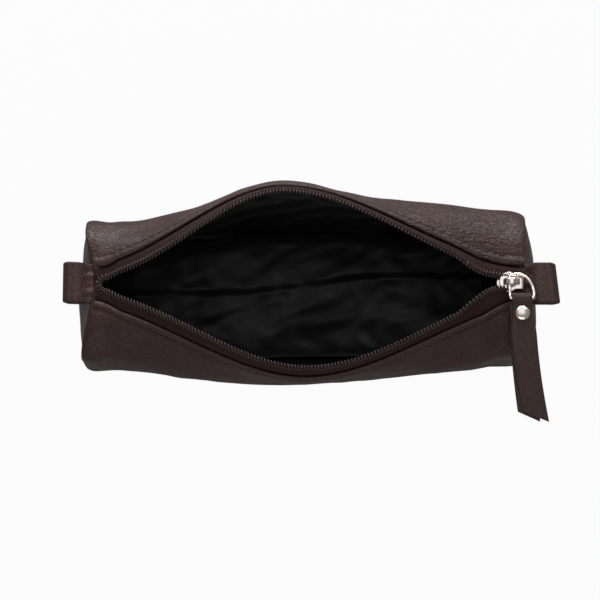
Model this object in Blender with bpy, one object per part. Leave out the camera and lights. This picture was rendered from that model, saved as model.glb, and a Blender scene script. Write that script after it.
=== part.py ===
"""Zipped leather toiletry pouch, modelled piece by piece.

Units are metres and +Z is up. The origin is the middle of the base, on the surface that the pouch stands on. +X runs
along the zip towards the end where the slider waits while the pouch is open, and -Y is the front.

Each wall is described by its cross-section. At both ends of the mouth it has the shut profile, which curls over the
top. Towards the widest place of the mouth it changes smoothly into the open profile, and it leans out about a line
along the base's edge. The zip's tapes and coils follow the lip of the wall.
"""

import math

import bmesh
import bpy
import numpy as np
from mathutils import Matrix, Vector

MM = 0.001

# Clearances
GAP = 0.3 * MM
OVERRUN = 2.0 * MM

# Ends of the body: where the end seams lie, at three heights
SEAM_LOW_X = 101.5 * MM
SEAM_MIDDLE_X = 104.0 * MM
SEAM_TOP_X = 98.0 * MM
SEAM_MIDDLE_HEIGHT = 35.0 * MM

# Cross-section of the body
BASE_FLAT_HALF_WIDTH = 26.0 * MM
BASE_HALF_WIDTH = 34.0 * MM
BASE_EDGE_HEIGHT = 7.0 * MM
SHUT_SWELL = 1.3 * MM
SHUT_HEIGHT = 68.0 * MM
OPEN_SWELL = 13.0 * MM
OPEN_HEIGHT = 78.0 * MM
LIP_HALF_GAP = 7.9 * MM
SHUT_WIDTH_SHARES = (1.0, 1.0, 0.9, 0.485, 0.0)
SHUT_HEIGHT_SHARES = (0.246, 0.574, 0.836, 0.984, 1.0)
OPEN_WIDTH_SHARES = (0.0, 0.615, 0.96, 1.0, 0.946, 0.808)
OPEN_HEIGHT_SHARES = (0.0, 0.183, 0.437, 0.662, 0.845, 1.0)

# The mouth: how far past each end's seam its opening would start, and where it is widest
MOUTH_PAST_LEFT = 9.0 * MM
MOUTH_PAST_RIGHT = 11.0 * MM
MOUTH_LEFT_X = -SEAM_TOP_X - MOUTH_PAST_LEFT
MOUTH_RIGHT_X = SEAM_TOP_X + MOUTH_PAST_RIGHT
MOUTH_WIDEST_X = -7.0 * MM

# Leather
LEATHER = 1.6 * MM
BASE_JOINT_GAP = 0.7 * MM
BASE_ARC_STEPS = 5
WALL_ROWS = 9
HEM_ROWS = 4
STRIP_COLUMNS = 3
HEM_THICKNESS = 2.0 * MM
HEM_HEIGHT_SHARE = 0.24
LEFT_STRIP_SHARES = (0.17, 0.45, 0.73)
RIGHT_STRIP_SHARES = (0.164, 0.422, 0.698)
END_BULGE = 5.0 * MM
END_TOP_SHARE = 0.85
END_COLUMNS = 9

# Lining
LINING = 0.5 * MM
LINING_LOW_SHARE = 0.02
LINING_TOP_SHARE = 0.93
LINING_COLUMNS = 21
LINING_BASE_ANGLE = math.radians(72.0)

# Zip
LIP_COLUMNS = 29
TAPE_DEPTH = 1.0 * MM
TAPE_THICKNESS = 0.8 * MM
TAPE_WIDTH = 5.1 * MM
TAPE_BESIDE_SLIDER = 2.5 * MM
COIL_REACH = 6.4 * MM
COIL_RADIUS = 1.0 * MM
COIL_SIDES = 8
COIL_FROM_SEAM = 2.0 * MM
ZIP_TILT_OPEN = math.radians(45.0)

# Slider at the open end of the zip
SLIDER_NOSE_FROM_SEAM = 10.0 * MM
SLIDER_NOSE_X = SEAM_TOP_X - SLIDER_NOSE_FROM_SEAM
SLIDER_LENGTH = 11.1 * MM
SLIDER_NOSE_HALF_WIDTH = 4.75 * MM
SLIDER_TAIL_HALF_WIDTH = 3.4 * MM
SLIDER_CORNER = 1.5 * MM
SLIDER_BELOW_LIP = 1.9 * MM
SLIDER_LOW_Z = SHUT_HEIGHT - SLIDER_BELOW_LIP
SLIDER_HEIGHT = 3.8 * MM
SLIDER_PLATE = 1.2 * MM
SLIDER_WALL = 0.8 * MM
SLIDER_NECK_HALF_WIDTH = 0.9 * MM
SLIDER_TAIL_CHANNEL_HALF_WIDTH = 2.4 * MM
SLIDER_BRANCH_SHARE = 0.45
CORNER_STEPS = 4
CROWN_START = 1.7 * MM
CROWN_LENGTH = 7.7 * MM
CROWN_WIDTH = 2.9 * MM
CROWN_HEIGHT = 4.0 * MM
CROWN_NOSE_FOOT = 1.3 * MM
CROWN_TAIL_FOOT = 2.4 * MM
CROWN_SHOULDER = 0.9 * MM
CROWN_ROOF = 1.4 * MM

# Pull ring
WIRE_RADIUS = 0.8 * MM
RING_WIDTH = 11.4 * MM
RING_BACK_REACH = 3.3 * MM
RING_FRONT_REACH = 7.8 * MM
RING_RISE = 1.6 * MM
RING_RISE_SHARE = 0.55
RING_OUTLINE_SHARES = (
    (0.0, 0.40),
    (0.0, 0.62),
    (0.0, 0.84),
    (0.10, 0.96),
    (0.42, 1.0),
    (0.72, 0.86),
    (0.92, 0.58),
    (1.0, 0.30),
    (1.0, 0.08),
    (0.98, 0.02),
    (0.94, 0.0),
    (0.50, 0.0),
    (0.06, 0.0),
    (0.02, 0.02),
    (0.0, 0.08),
)
RING_STEPS = 3
RING_BEVEL_RESOLUTION = 2

# Pull strap
STRAP_LEATHER = 1.3 * MM
STRAP_FOLD_WIDTH = 9.0 * MM
STRAP_WIDTH = 11.6 * MM
STRAP_LENGTH = 57.0 * MM
STRAP_SLOPE = math.radians(8.0)
STRAP_PINCH = 6.0 * MM
STRAP_FLARE_START = 7.0 * MM
STRAP_FLARE_LENGTH = 16.0 * MM
STRAP_LEAN = 5.0 * MM
STRAP_LOWER_SHIFT = 1.8 * MM
STRAP_END_SLANT = 4.6 * MM
STRAP_ROWS = 9
STRAP_COLUMNS = 3
FOLD_STEPS = 8

# Rivet of the strap
RIVET_DISTANCE = 7.0 * MM
RIVET_CAP_RADIUS = 3.4 * MM
RIVET_CAP_HEIGHT = 1.6 * MM
RIVET_CAP_RIM = 0.5 * MM
RIVET_POST_RADIUS = 1.3 * MM
RIVET_BASE_RADIUS = 3.0 * MM
RIVET_BASE_THICKNESS = 0.8 * MM
ROUND_STEPS = 20
DOME_STEPS = 4

# End loops
LOOP_LENGTH = 14.0 * MM
LOOP_WIDTH = 19.3 * MM
LOOP_LEATHER = 1.5 * MM
LOOP_EYE_HALF_HEIGHT = 2.4 * MM
LOOP_ROOT_RADIUS = 1.65 * MM
LOOP_EYE_START = 1.9 * MM
LOOP_EYE_FULL = 5.4 * MM
LOOP_BELOW_LIP = 3.8 * MM
LOOP_HEIGHT = SHUT_HEIGHT - LOOP_BELOW_LIP
LOOP_SEAM_GAP = 0.7 * MM
LOOP_SIDE_STEPS = 5
LOOP_TIP_STEPS = 8

# Colours, as linear red, green and blue, with roughness and metallic
MATERIALS = {
    "body_leather": ((0.040, 0.020, 0.014), 0.50, 0.0),
    "strap_leather": ((0.060, 0.027, 0.018), 0.55, 0.0),
    "lining_cloth": ((0.006, 0.006, 0.007), 0.60, 0.0),
    "zip_tape": ((0.030, 0.014, 0.012), 0.85, 0.0),
    "zip_coil": ((0.075, 0.055, 0.045), 0.45, 0.0),
    "slider_metal": ((0.62, 0.60, 0.58), 0.25, 1.0),
    "rivet_metal": ((0.70, 0.66, 0.60), 0.30, 1.0),
}

HINGE_HALF_WIDTH = BASE_HALF_WIDTH - LEATHER / 2
FRONT = -1
BACK = 1


def smooth(share):
    """A share from 0 to 1, eased at both ends."""
    share = np.clip(share, 0.0, 1.0)
    return share * share * (3.0 - 2.0 * share)


def through_points(points, places):
    """A smooth curve through the last axis but one of points, and its direction, at places from 0 to 1."""
    points = np.asarray(points, float)
    before = 2 * points[..., :1, :] - points[..., 1:2, :]
    after = 2 * points[..., -1:, :] - points[..., -2:-1, :]
    padded = np.concatenate([before, points, after], axis=-2)
    spans = points.shape[-2] - 1
    place = np.clip(np.asarray(places, float), 0.0, 1.0) * spans
    span = np.minimum(place.astype(int), spans - 1)
    t = (place - span)[:, None]
    a, b, c, d = (padded[..., span + step, :] for step in range(4))
    linear = c - a
    square = 2 * a - 5 * b + 4 * c - d
    cube = 3 * b - a - 3 * c + d
    position = b + (linear * t + square * t**2 + cube * t**3) / 2
    direction = (linear + 2 * square * t + 3 * cube * t**2) / 2
    return position, direction


def turned_about_base_edge(points, angle):
    """Half-width and height pairs, leant outwards by an angle about the line that the wall hinges on."""
    pivot = np.array([HINGE_HALF_WIDTH, BASE_EDGE_HEIGHT])
    offset = points - pivot
    cosine, sine = np.cos(angle), np.sin(angle)
    out = offset[..., 0] * cosine + offset[..., 1] * sine
    up = offset[..., 1] * cosine - offset[..., 0] * sine
    return np.stack([out, up], axis=-1) + pivot


def shut_profile():
    """Half-widths and heights of a wall at the ends of the mouth, from the base's edge up to the lip."""
    wide = [BASE_HALF_WIDTH]
    reach = BASE_HALF_WIDTH + SHUT_SWELL - LIP_HALF_GAP
    wide += [LIP_HALF_GAP + share * reach for share in SHUT_WIDTH_SHARES]
    high = [BASE_EDGE_HEIGHT]
    high += [BASE_EDGE_HEIGHT + share * (SHUT_HEIGHT - BASE_EDGE_HEIGHT) for share in SHUT_HEIGHT_SHARES]
    return np.array([wide, high]).T


def open_profile():
    """Half-widths and heights of a wall where the mouth is widest, from the base's edge up to the lip."""
    wide = [BASE_HALF_WIDTH + share * OPEN_SWELL for share in OPEN_WIDTH_SHARES]
    high = [BASE_EDGE_HEIGHT + share * (OPEN_HEIGHT - BASE_EDGE_HEIGHT) for share in OPEN_HEIGHT_SHARES]
    return np.array([wide, high]).T


def full_lean():
    """The angle that brings the lip of the open profile in to where the two lips meet over the zip."""
    lip_out = open_profile()[-1] - np.array([HINGE_HALF_WIDTH, BASE_EDGE_HEIGHT])
    reach = float(np.hypot(*lip_out))
    return math.atan2(lip_out[0], lip_out[1]) + math.asin((HINGE_HALF_WIDTH - LIP_HALF_GAP) / reach)


def opening(x):
    """How far the mouth is open at x, from 0 at its ends to 1 where it is widest."""
    from_left = (x - MOUTH_LEFT_X) / (MOUTH_WIDEST_X - MOUTH_LEFT_X)
    from_right = (MOUTH_RIGHT_X - x) / (MOUTH_RIGHT_X - MOUTH_WIDEST_X)
    return smooth(np.minimum(from_left, from_right))


def wall_section(x, places, depth):
    """Half-width and height of the wall at each x and at places from 0 (base edge) to 1 (lip), at a depth inside it."""
    share = opening(np.asarray(x, float))[:, None, None]
    shut = shut_profile()[None]
    leant_in = turned_about_base_edge(open_profile(), -full_lean())[None]
    closed = (1 - share) * shut + share * leant_in
    section, direction = through_points(closed, places)
    outward = np.stack([direction[..., 1], -direction[..., 0]], axis=-1)
    outward /= np.linalg.norm(outward, axis=-1, keepdims=True)
    section = section - outward * depth
    angle = full_lean() * share[..., 0]
    return turned_about_base_edge(section, angle)


def seam_x(height):
    """Distance of the end seam from the middle of the pouch, at a height."""
    heights = [BASE_EDGE_HEIGHT, SEAM_MIDDLE_HEIGHT, SHUT_HEIGHT]
    low, middle, top = SEAM_LOW_X, SEAM_MIDDLE_X, SEAM_TOP_X
    share = np.clip((np.asarray(height) - heights[0]) / (heights[1] - heights[0]), 0, None)
    lower = low + (middle - low) * np.sin(np.minimum(share, 1) * math.pi / 2)
    upper_share = np.clip((np.asarray(height) - heights[1]) / (heights[2] - heights[1]), 0, 1)
    return lower + (top - middle) * upper_share**2


def base_section(depth, angle_limit, steps):
    """Half-width and height along the rounded edge of the base, from the flat outwards, at a depth inside it."""
    angles = np.linspace(0, angle_limit, steps)
    wide = BASE_FLAT_HALF_WIDTH + (BASE_HALF_WIDTH - BASE_FLAT_HALF_WIDTH - depth) * np.sin(angles)
    high = BASE_EDGE_HEIGHT - (BASE_EDGE_HEIGHT - depth) * np.cos(angles)
    return np.stack([wide, high], axis=-1)


def make_material(name):
    colour, roughness, metallic = MATERIALS[name]
    material = bpy.data.materials.get(name) or bpy.data.materials.new(name)
    material.use_nodes = True
    shader = material.node_tree.nodes["Principled BSDF"]
    shader.inputs["Base Color"].default_value = (*colour, 1.0)
    shader.inputs["Roughness"].default_value = roughness
    shader.inputs["Metallic"].default_value = metallic
    material.diffuse_color = (*colour, 1.0)
    return material


def add_object(name, vertices, faces, material, parent=None, smooth_sides=True):
    """A mesh object whose vertices are given in world places, hung from parent if there is one."""
    mesh = bpy.data.meshes.new(name)
    mesh.from_pydata([tuple(map(float, v)) for v in vertices], [], faces)
    shape = bmesh.new()
    shape.from_mesh(mesh)
    bmesh.ops.recalc_face_normals(shape, faces=shape.faces)
    shape.to_mesh(mesh)
    shape.free()
    if parent is not None:
        mesh.transform(Matrix.Translation(-parent.matrix_world.translation))
    mesh.materials.append(make_material(material))
    if smooth_sides:
        mesh.shade_smooth()
        mesh.set_sharp_from_angle(angle=math.radians(40.0))
    item = bpy.data.objects.new(name, mesh)
    bpy.context.scene.collection.objects.link(item)
    item.parent = parent
    return item


def axis_empty(name, place, parent=None):
    """An empty on a joint's axis. Its location is in world places, so its parent's is taken off."""
    item = bpy.data.objects.new(name, None)
    bpy.context.scene.collection.objects.link(item)
    item.location = place
    if parent is not None:
        item.parent = parent
        item.location = Vector(place) - parent.matrix_world.translation
    bpy.context.view_layer.update()
    return item


def add_slab(name, outer, inner, material, parent=None):
    """A closed sheet between two grids of points, of rows by columns."""
    rows, columns = outer.shape[:2]
    vertices = np.concatenate([outer.reshape(-1, 3), inner.reshape(-1, 3)])
    index = np.arange(rows * columns).reshape(rows, columns)
    under = index + rows * columns
    faces = []
    for grid in (index, under):
        corners = (grid[:-1, :-1], grid[:-1, 1:], grid[1:, 1:], grid[1:, :-1])
        faces += np.stack([c.ravel() for c in corners], axis=-1).tolist()
    rim = np.concatenate([index[0], index[1:, -1], index[-1, -2::-1], index[-2:0:-1, 0]])
    rim_under = np.concatenate([under[0], under[1:, -1], under[-1, -2::-1], under[-2:0:-1, 0]])
    following = np.roll(rim, -1)
    following_under = np.roll(rim_under, -1)
    faces += np.stack([rim, following, following_under, rim_under], axis=-1).tolist()
    return add_object(name, vertices, faces, material, parent)


def add_wall_piece(name, side, x_low, x_high, columns, places, depths, material, parent=None):
    """A stretch of wall between two x edges, each a distance or one distance for every place up the wall."""
    low = np.broadcast_to(x_low, len(places))
    high = np.broadcast_to(x_high, len(places))
    shares = np.linspace(0, 1, columns)
    grids = []
    for depth in depths:
        grid = np.zeros((len(places), columns, 3))
        for row, place in enumerate(places):
            x = low[row] + (high[row] - low[row]) * shares
            section = wall_section(x, [place], depth)[:, 0]
            grid[row] = np.stack([x, side * section[:, 0], section[:, 1]], axis=-1)
        grids.append(grid)
    return add_slab(name, grids[0], grids[1], material, parent)


def seam_places(places, inset=0.0):
    """The end seam's x at each place up the shut wall, set in by some distance."""
    heights = wall_section([MOUTH_LEFT_X], places, 0.0)[0, :, 1]
    return seam_x(heights) - inset


def build_base():
    angle_limit = math.acos(BASE_JOINT_GAP / BASE_EDGE_HEIGHT)
    ends = []
    for depth in (0.0, LEATHER):
        half = base_section(depth, angle_limit, BASE_ARC_STEPS)
        outline = np.concatenate([half[::-1] * [-1, 1], half])
        grid = np.zeros((len(outline), 2, 3))
        grid[:, 0, 0] = -seam_x(outline[:, 1])
        grid[:, 1, 0] = seam_x(outline[:, 1])
        grid[:, :, 1] = outline[:, 0, None]
        grid[:, :, 2] = outline[:, 1, None]
        ends.append(grid)
    add_slab("base_panel", ends[0], ends[1], "body_leather")


def end_outline(depth, arc_limit):
    """Half-widths and heights up the edge of an end panel, from the base's flat to its top."""
    low = base_section(depth, arc_limit, BASE_ARC_STEPS)
    places = np.linspace(LINING_LOW_SHARE, END_TOP_SHARE, WALL_ROWS)
    high = wall_section([MOUTH_LEFT_X], places, depth)[0]
    return np.concatenate([low, high])


def end_grid(end, depth, inset):
    """Grid of an end panel's surface, bulging outwards in the middle, set in by some distance."""
    outline = end_outline(depth, LINING_BASE_ANGLE)
    across = np.linspace(-1, 1, END_COLUMNS)
    height_share = (outline[:, 1] - outline[0, 1]) / (outline[-1, 1] - outline[0, 1])
    swell = np.sin(height_share * math.pi)[:, None] * (1 - across**2)[None]
    grid = np.zeros((len(outline), len(across), 3))
    grid[..., 0] = end * (seam_x(outline[:, 1])[:, None] - inset + END_BULGE * swell)
    grid[..., 1] = outline[:, 0, None] * across[None]
    grid[..., 2] = outline[:, 1, None]
    return grid


def build_ends():
    for name, end in (("left", -1), ("right", 1)):
        depth = HEM_THICKNESS + GAP
        outer = end_grid(end, depth, 0.0)
        inner = end_grid(end, depth, LEATHER)
        add_slab(f"{name}_end_panel", outer, inner, "body_leather")
        lining_depth = depth + LINING + GAP
        outer = end_grid(end, lining_depth, LEATHER + GAP)
        inner = end_grid(end, lining_depth, LEATHER + GAP + LINING)
        add_slab(f"{name}_end_lining", outer, inner, "lining_cloth")


def strip_edges():
    """The x of the edges between the strips of a wall, from left to right."""
    left = [MOUTH_WIDEST_X + share * (MOUTH_LEFT_X - MOUTH_WIDEST_X) for share in LEFT_STRIP_SHARES]
    right = [MOUTH_WIDEST_X + share * (MOUTH_RIGHT_X - MOUTH_WIDEST_X) for share in RIGHT_STRIP_SHARES]
    return left[::-1] + right


def build_wall(wall, side, hinge):
    """The seven strips of one wall. The five between the fixed ones lean about the hinge line."""
    places = np.linspace(0, 1 - HEM_HEIGHT_SHARE, WALL_ROWS)
    seam = seam_places(places)
    edges = strip_edges()
    names = ("left_outer", "left_inner", "centre", "right_inner", "right_outer")
    depths = (0.0, LEATHER)
    grid = (STRIP_COLUMNS, places, depths, "body_leather")
    add_wall_piece(f"{wall}_wall_left_end", side, -seam, edges[0] - GAP / 2, *grid)
    for name, low, high in zip(names, edges[:-1], edges[1:]):
        add_wall_piece(f"{wall}_wall_{name}", side, low + GAP / 2, high - GAP / 2, *grid, hinge)
    add_wall_piece(f"{wall}_wall_right_end", side, edges[-1] + GAP / 2, seam, *grid)


def build_hem(wall, side, hinge):
    """The turned and stitched band along the top of a wall, up to its lip."""
    wall_height = float(np.linalg.norm(np.diff(open_profile(), axis=0), axis=1).sum())
    places = np.linspace(1 - HEM_HEIGHT_SHARE + GAP / wall_height, 1, HEM_ROWS)
    seam = seam_places(places)
    depths = (0.0, HEM_THICKNESS)
    add_wall_piece(f"{wall}_hem", side, -seam, seam, LIP_COLUMNS, places, depths, "body_leather", hinge)


def build_lining(wall, side, hinge):
    """The lining of a wall, which stops at the end linings and below the zip's tape."""
    places = np.linspace(LINING_LOW_SHARE, LINING_TOP_SHARE, WALL_ROWS)
    edge = seam_places(places, LEATHER + GAP)
    outer_depth = HEM_THICKNESS + GAP
    depths = (outer_depth, outer_depth + LINING)
    add_wall_piece(f"{wall}_lining", side, -edge, edge, LINING_COLUMNS, places, depths, "lining_cloth", hinge)


def build_base_lining():
    grids = []
    for depth in (LEATHER + GAP, LEATHER + GAP + LINING):
        half = base_section(depth, LINING_BASE_ANGLE, BASE_ARC_STEPS)
        outline = np.concatenate([half[::-1] * [-1, 1], half])
        edge = seam_x(outline[:, 1]) - LEATHER - 2 * GAP - LINING
        grid = np.zeros((len(outline), 2, 3))
        grid[:, 0, 0] = -edge
        grid[:, 1, 0] = edge
        grid[:, :, 1] = outline[:, 0, None]
        grid[:, :, 2] = outline[:, 1, None]
        grids.append(grid)
    add_slab("base_lining", grids[0], grids[1], "lining_cloth")


def lip_line(x, reach, lift=0.0):
    """Half-width and height of the zip beside the lip: a reach inwards from the leather, and a lift off the tape."""
    lip = wall_section(x, [1.0], TAPE_DEPTH)[:, 0]
    tilt = ZIP_TILT_OPEN * opening(x)
    inward = np.stack([-np.cos(tilt), np.sin(tilt)], axis=-1)
    upward = np.stack([np.sin(tilt), np.cos(tilt)], axis=-1)
    return lip + inward * np.asarray(reach)[..., None] + upward * lift


def build_tape(wall, side, hinge):
    """The tape narrows beside the slider, which takes up the middle of the zip there."""
    slider_edge = SLIDER_NOSE_X - GAP
    seam = SEAM_TOP_X
    open_x = np.linspace(-seam, slider_edge - OVERRUN, LIP_COLUMNS - 3)
    x = np.concatenate([open_x, [slider_edge, SLIDER_NOSE_X, seam]])
    width = np.where(x > slider_edge - OVERRUN / 2, TAPE_BESIDE_SLIDER, TAPE_WIDTH)
    grids = []
    for lift in (TAPE_THICKNESS / 2, -TAPE_THICKNESS / 2):
        rows = []
        for share in (0.0, 1.0):
            reach = GAP + (width - GAP) * share
            line = lip_line(x, reach, lift)
            rows.append(np.stack([x, side * line[:, 0], line[:, 1]], axis=-1))
        grids.append(np.array(rows))
    add_slab(f"{wall}_tape", grids[0], grids[1], "zip_tape", hinge)


def build_coil(wall, side, hinge):
    x = np.linspace(COIL_FROM_SEAM - SEAM_TOP_X, SLIDER_NOSE_X - GAP, LIP_COLUMNS)
    angles = np.linspace(0, 2 * math.pi, COIL_SIDES, endpoint=False)
    rings = []
    for angle in angles:
        reach = np.full(len(x), COIL_REACH + COIL_RADIUS * math.cos(angle))
        line = lip_line(x, reach, COIL_RADIUS * math.sin(angle))
        rings.append(np.stack([x, side * line[:, 0], line[:, 1]], axis=-1))
    vertices = np.array(rings).transpose(1, 0, 2).reshape(-1, 3)
    faces = []
    for column in range(len(x) - 1):
        start = column * COIL_SIDES
        ahead = start + COIL_SIDES
        for corner in range(COIL_SIDES):
            following = (corner + 1) % COIL_SIDES
            faces.append([start + corner, start + following, ahead + following, ahead + corner])
    faces.append(list(range(COIL_SIDES)))
    faces.append(list(range(len(vertices) - COIL_SIDES, len(vertices))))
    add_object(f"{wall}_coil", vertices, faces, "zip_coil", hinge)


def extruded(name, outline, to_world, material, parent=None):
    """A closed outline drawn between two ends: to_world turns one of its points and an end, 0 or 1, into a place."""
    count = len(outline)
    vertices = [to_world(point, end) for end in (0, 1) for point in outline]
    faces = [list(range(count)), list(range(count, 2 * count))]
    for corner in range(count):
        following = (corner + 1) % count
        faces.append([corner, following, count + following, count + corner])
    return add_object(name, vertices, faces, material, parent)


def box_cutter(low, high):
    corners = [(low[0], low[1]), (high[0], low[1]), (high[0], high[1]), (low[0], high[1])]
    item = extruded("cutter", corners, lambda p, end: (p[0], p[1], (low[2], high[2])[end]), "slider_metal")
    item.hide_render = True
    item.display_type = "WIRE"
    return item


def cut(item, cutter):
    modifier = item.modifiers.new(f"cut {len(item.modifiers) + 1}", "BOOLEAN")
    modifier.operation = "DIFFERENCE"
    modifier.solver = "EXACT"
    modifier.object = cutter


def slider_outline():
    """Plan of the slider: a wide nose with round corners, narrowing to the tail."""
    nose = SLIDER_NOSE_X
    tail = SLIDER_NOSE_X + SLIDER_LENGTH
    half = []
    for centre_x, half_width, start in (
        (nose + SLIDER_CORNER, SLIDER_NOSE_HALF_WIDTH, math.pi),
        (tail - SLIDER_CORNER, SLIDER_TAIL_HALF_WIDTH, math.pi / 2),
    ):
        for angle in np.linspace(start, start - math.pi / 2, CORNER_STEPS):
            half.append(
                (
                    centre_x + SLIDER_CORNER * math.cos(angle),
                    half_width - SLIDER_CORNER + SLIDER_CORNER * math.sin(angle),
                )
            )
    return half + [(x, -y) for x, y in reversed(half)]


def build_slider(carriage):
    top = SLIDER_LOW_Z + SLIDER_HEIGHT
    body = extruded(
        "slider_body", slider_outline(), lambda p, end: (p[0], p[1], (SLIDER_LOW_Z, top)[end]), "slider_metal", carriage
    )
    branch_end = SLIDER_NOSE_X + SLIDER_LENGTH * SLIDER_BRANCH_SHARE
    channel_low = SLIDER_LOW_Z + SLIDER_PLATE
    channel_high = top - SLIDER_PLATE
    tail = SLIDER_NOSE_X + SLIDER_LENGTH + OVERRUN
    outer = SLIDER_NOSE_HALF_WIDTH - SLIDER_WALL
    half = SLIDER_TAIL_CHANNEL_HALF_WIDTH
    overlap = SLIDER_WALL
    cut(body, box_cutter((branch_end - overlap, -half, channel_low), (tail, half, channel_high)))
    for low, high in ((-outer, -SLIDER_NECK_HALF_WIDTH), (SLIDER_NECK_HALF_WIDTH, outer)):
        nose = SLIDER_NOSE_X - OVERRUN
        cut(body, box_cutter((nose, low, channel_low), (branch_end, high, channel_high)))
    return body


def crown_frame():
    """World x of the crown's nose end and z of its underside."""
    return SLIDER_NOSE_X + CROWN_START, SLIDER_LOW_Z + SLIDER_HEIGHT + GAP


def ring_axis():
    """World x and z of the line through the crown's eye that the ring swings about."""
    start, low = crown_frame()
    x = start + CROWN_NOSE_FOOT + 2 * GAP + WIRE_RADIUS
    return x, low + CROWN_HEIGHT - CROWN_ROOF - GAP - WIRE_RADIUS


def build_crown(carriage):
    start, low = crown_frame()
    eye_start = start + CROWN_NOSE_FOOT
    eye_end = start + CROWN_LENGTH - CROWN_TAIL_FOOT
    end = start + CROWN_LENGTH
    high = low + CROWN_HEIGHT
    eye_high = high - CROWN_ROOF
    outline = [
        (start, low),
        (eye_start, low),
        (eye_start, eye_high),
        (eye_end, eye_high),
        (eye_end, low),
        (end, low),
        (end, high - CROWN_SHOULDER),
        (end - CROWN_SHOULDER, high),
        (start + CROWN_SHOULDER, high),
        (start, high - CROWN_SHOULDER),
    ]
    ends = (-CROWN_WIDTH / 2, CROWN_WIDTH / 2)
    extruded("slider_crown", outline, lambda p, end: (p[0], ends[end], p[1]), "slider_metal", carriage)


def bar_axis():
    """World y and z of the ring's front bar, which the strap swings about."""
    return -RING_FRONT_REACH, ring_axis()[1] + RING_RISE


def build_ring(swing):
    """A loop of wire through the crown's eye, rising to its front bar."""
    shares = np.array(RING_OUTLINE_SHARES + RING_OUTLINE_SHARES[:1])
    wrapped = np.concatenate([shares[-2:-1], shares, shares[1:2]])
    spans = len(wrapped) - 1
    places = np.linspace(1 / spans, 1 - 1 / spans, (len(shares) - 1) * RING_STEPS + 1)[:-1]
    plan = through_points(wrapped, places)[0]
    axis_x, axis_z = ring_axis()
    x = axis_x + plan[:, 0] * RING_WIDTH
    y = -RING_FRONT_REACH + plan[:, 1] * (RING_FRONT_REACH + RING_BACK_REACH)
    z = axis_z + RING_RISE * smooth((RING_RISE_SHARE - plan[:, 1]) / RING_RISE_SHARE)
    curve = bpy.data.curves.new("pull_ring", "CURVE")
    curve.dimensions = "3D"
    curve.bevel_depth = WIRE_RADIUS
    curve.bevel_resolution = RING_BEVEL_RESOLUTION
    spline = curve.splines.new("POLY")
    spline.points.add(len(x) - 1)
    origin = swing.matrix_world.translation
    for point, place in zip(spline.points, zip(x, y, z)):
        point.co = (*(Vector(place) - origin), 1.0)
    spline.use_cyclic_u = True
    curve.materials.append(make_material("slider_metal"))
    item = bpy.data.objects.new("pull_ring", curve)
    bpy.context.scene.collection.objects.link(item)
    item.parent = swing


def strap_world(along, lift):
    """World y and z of a point of the strap, from its distance along the strap and its lift off its middle."""
    bar_y, bar_z = bar_axis()
    y = bar_y - along * math.cos(STRAP_SLOPE) - lift * math.sin(STRAP_SLOPE)
    z = bar_z - along * math.sin(STRAP_SLOPE) + lift * math.cos(STRAP_SLOPE)
    return y, z


def strap_path():
    """Distance along and lift of the folded strap's middle line: upper layer, fold round the wire, lower layer."""
    fold_radius = WIRE_RADIUS + GAP + STRAP_LEATHER / 2
    pair_lift = (STRAP_LEATHER + GAP) / 2
    along = np.concatenate(
        [np.linspace(STRAP_LENGTH, STRAP_FLARE_START, STRAP_ROWS), np.linspace(STRAP_FLARE_START, 0, FOLD_STEPS)[1:]]
    )
    lift = pair_lift + (fold_radius - pair_lift) * smooth(1 - along / STRAP_PINCH)
    angles = np.linspace(0, math.pi, FOLD_STEPS + 1)[1:-1]
    fold_along = -fold_radius * np.sin(angles)
    fold_lift = fold_radius * np.cos(angles)
    return np.concatenate([along, fold_along, along[::-1]]), np.concatenate([lift, fold_lift, -lift[::-1]])


def build_strap(swing):
    along, lift = strap_path()
    direction = np.stack([np.gradient(along), np.gradient(lift)], axis=-1)
    direction /= np.linalg.norm(direction, axis=-1, keepdims=True)
    normal = np.stack([direction[:, 1], -direction[:, 0]], axis=-1)
    middle_x = ring_axis()[0] + RING_WIDTH / 2
    flare = smooth((along - STRAP_FLARE_START) / STRAP_FLARE_LENGTH)
    width = STRAP_FOLD_WIDTH + (STRAP_WIDTH - STRAP_FOLD_WIDTH) * flare
    share = np.clip(along / STRAP_LENGTH, 0, 1)
    shift = STRAP_LEAN * share**2 - STRAP_LOWER_SHIFT * smooth(share) * (lift < 0)
    across = np.linspace(-0.5, 0.5, STRAP_COLUMNS)
    grids = []
    for half in (STRAP_LEATHER / 2, -STRAP_LEATHER / 2):
        point_along = along + normal[:, 0] * half
        point_lift = lift + normal[:, 1] * half
        grid = np.zeros((len(along), STRAP_COLUMNS, 3))
        for column, place in enumerate(across):
            slanted = point_along + STRAP_END_SLANT * place * np.clip(share, 0, 1) ** 4
            y, z = strap_world(slanted, point_lift)
            grid[:, column] = np.stack([middle_x + shift + width * place, y, z], axis=-1)
        grids.append(grid)
    strap = add_slab("pull_strap", grids[0], grids[1], "strap_leather", swing)
    y, z = strap_world(RIVET_DISTANCE, 0.0)
    hole = turned(
        "rivet_hole",
        [(0, -OVERRUN), (RIVET_POST_RADIUS + GAP, -OVERRUN), (RIVET_POST_RADIUS + GAP, OVERRUN), (0, OVERRUN)],
        (middle_x, y, z),
        "strap_leather",
    )
    hole.hide_render = True
    hole.display_type = "WIRE"
    cut(strap, hole)


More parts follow.
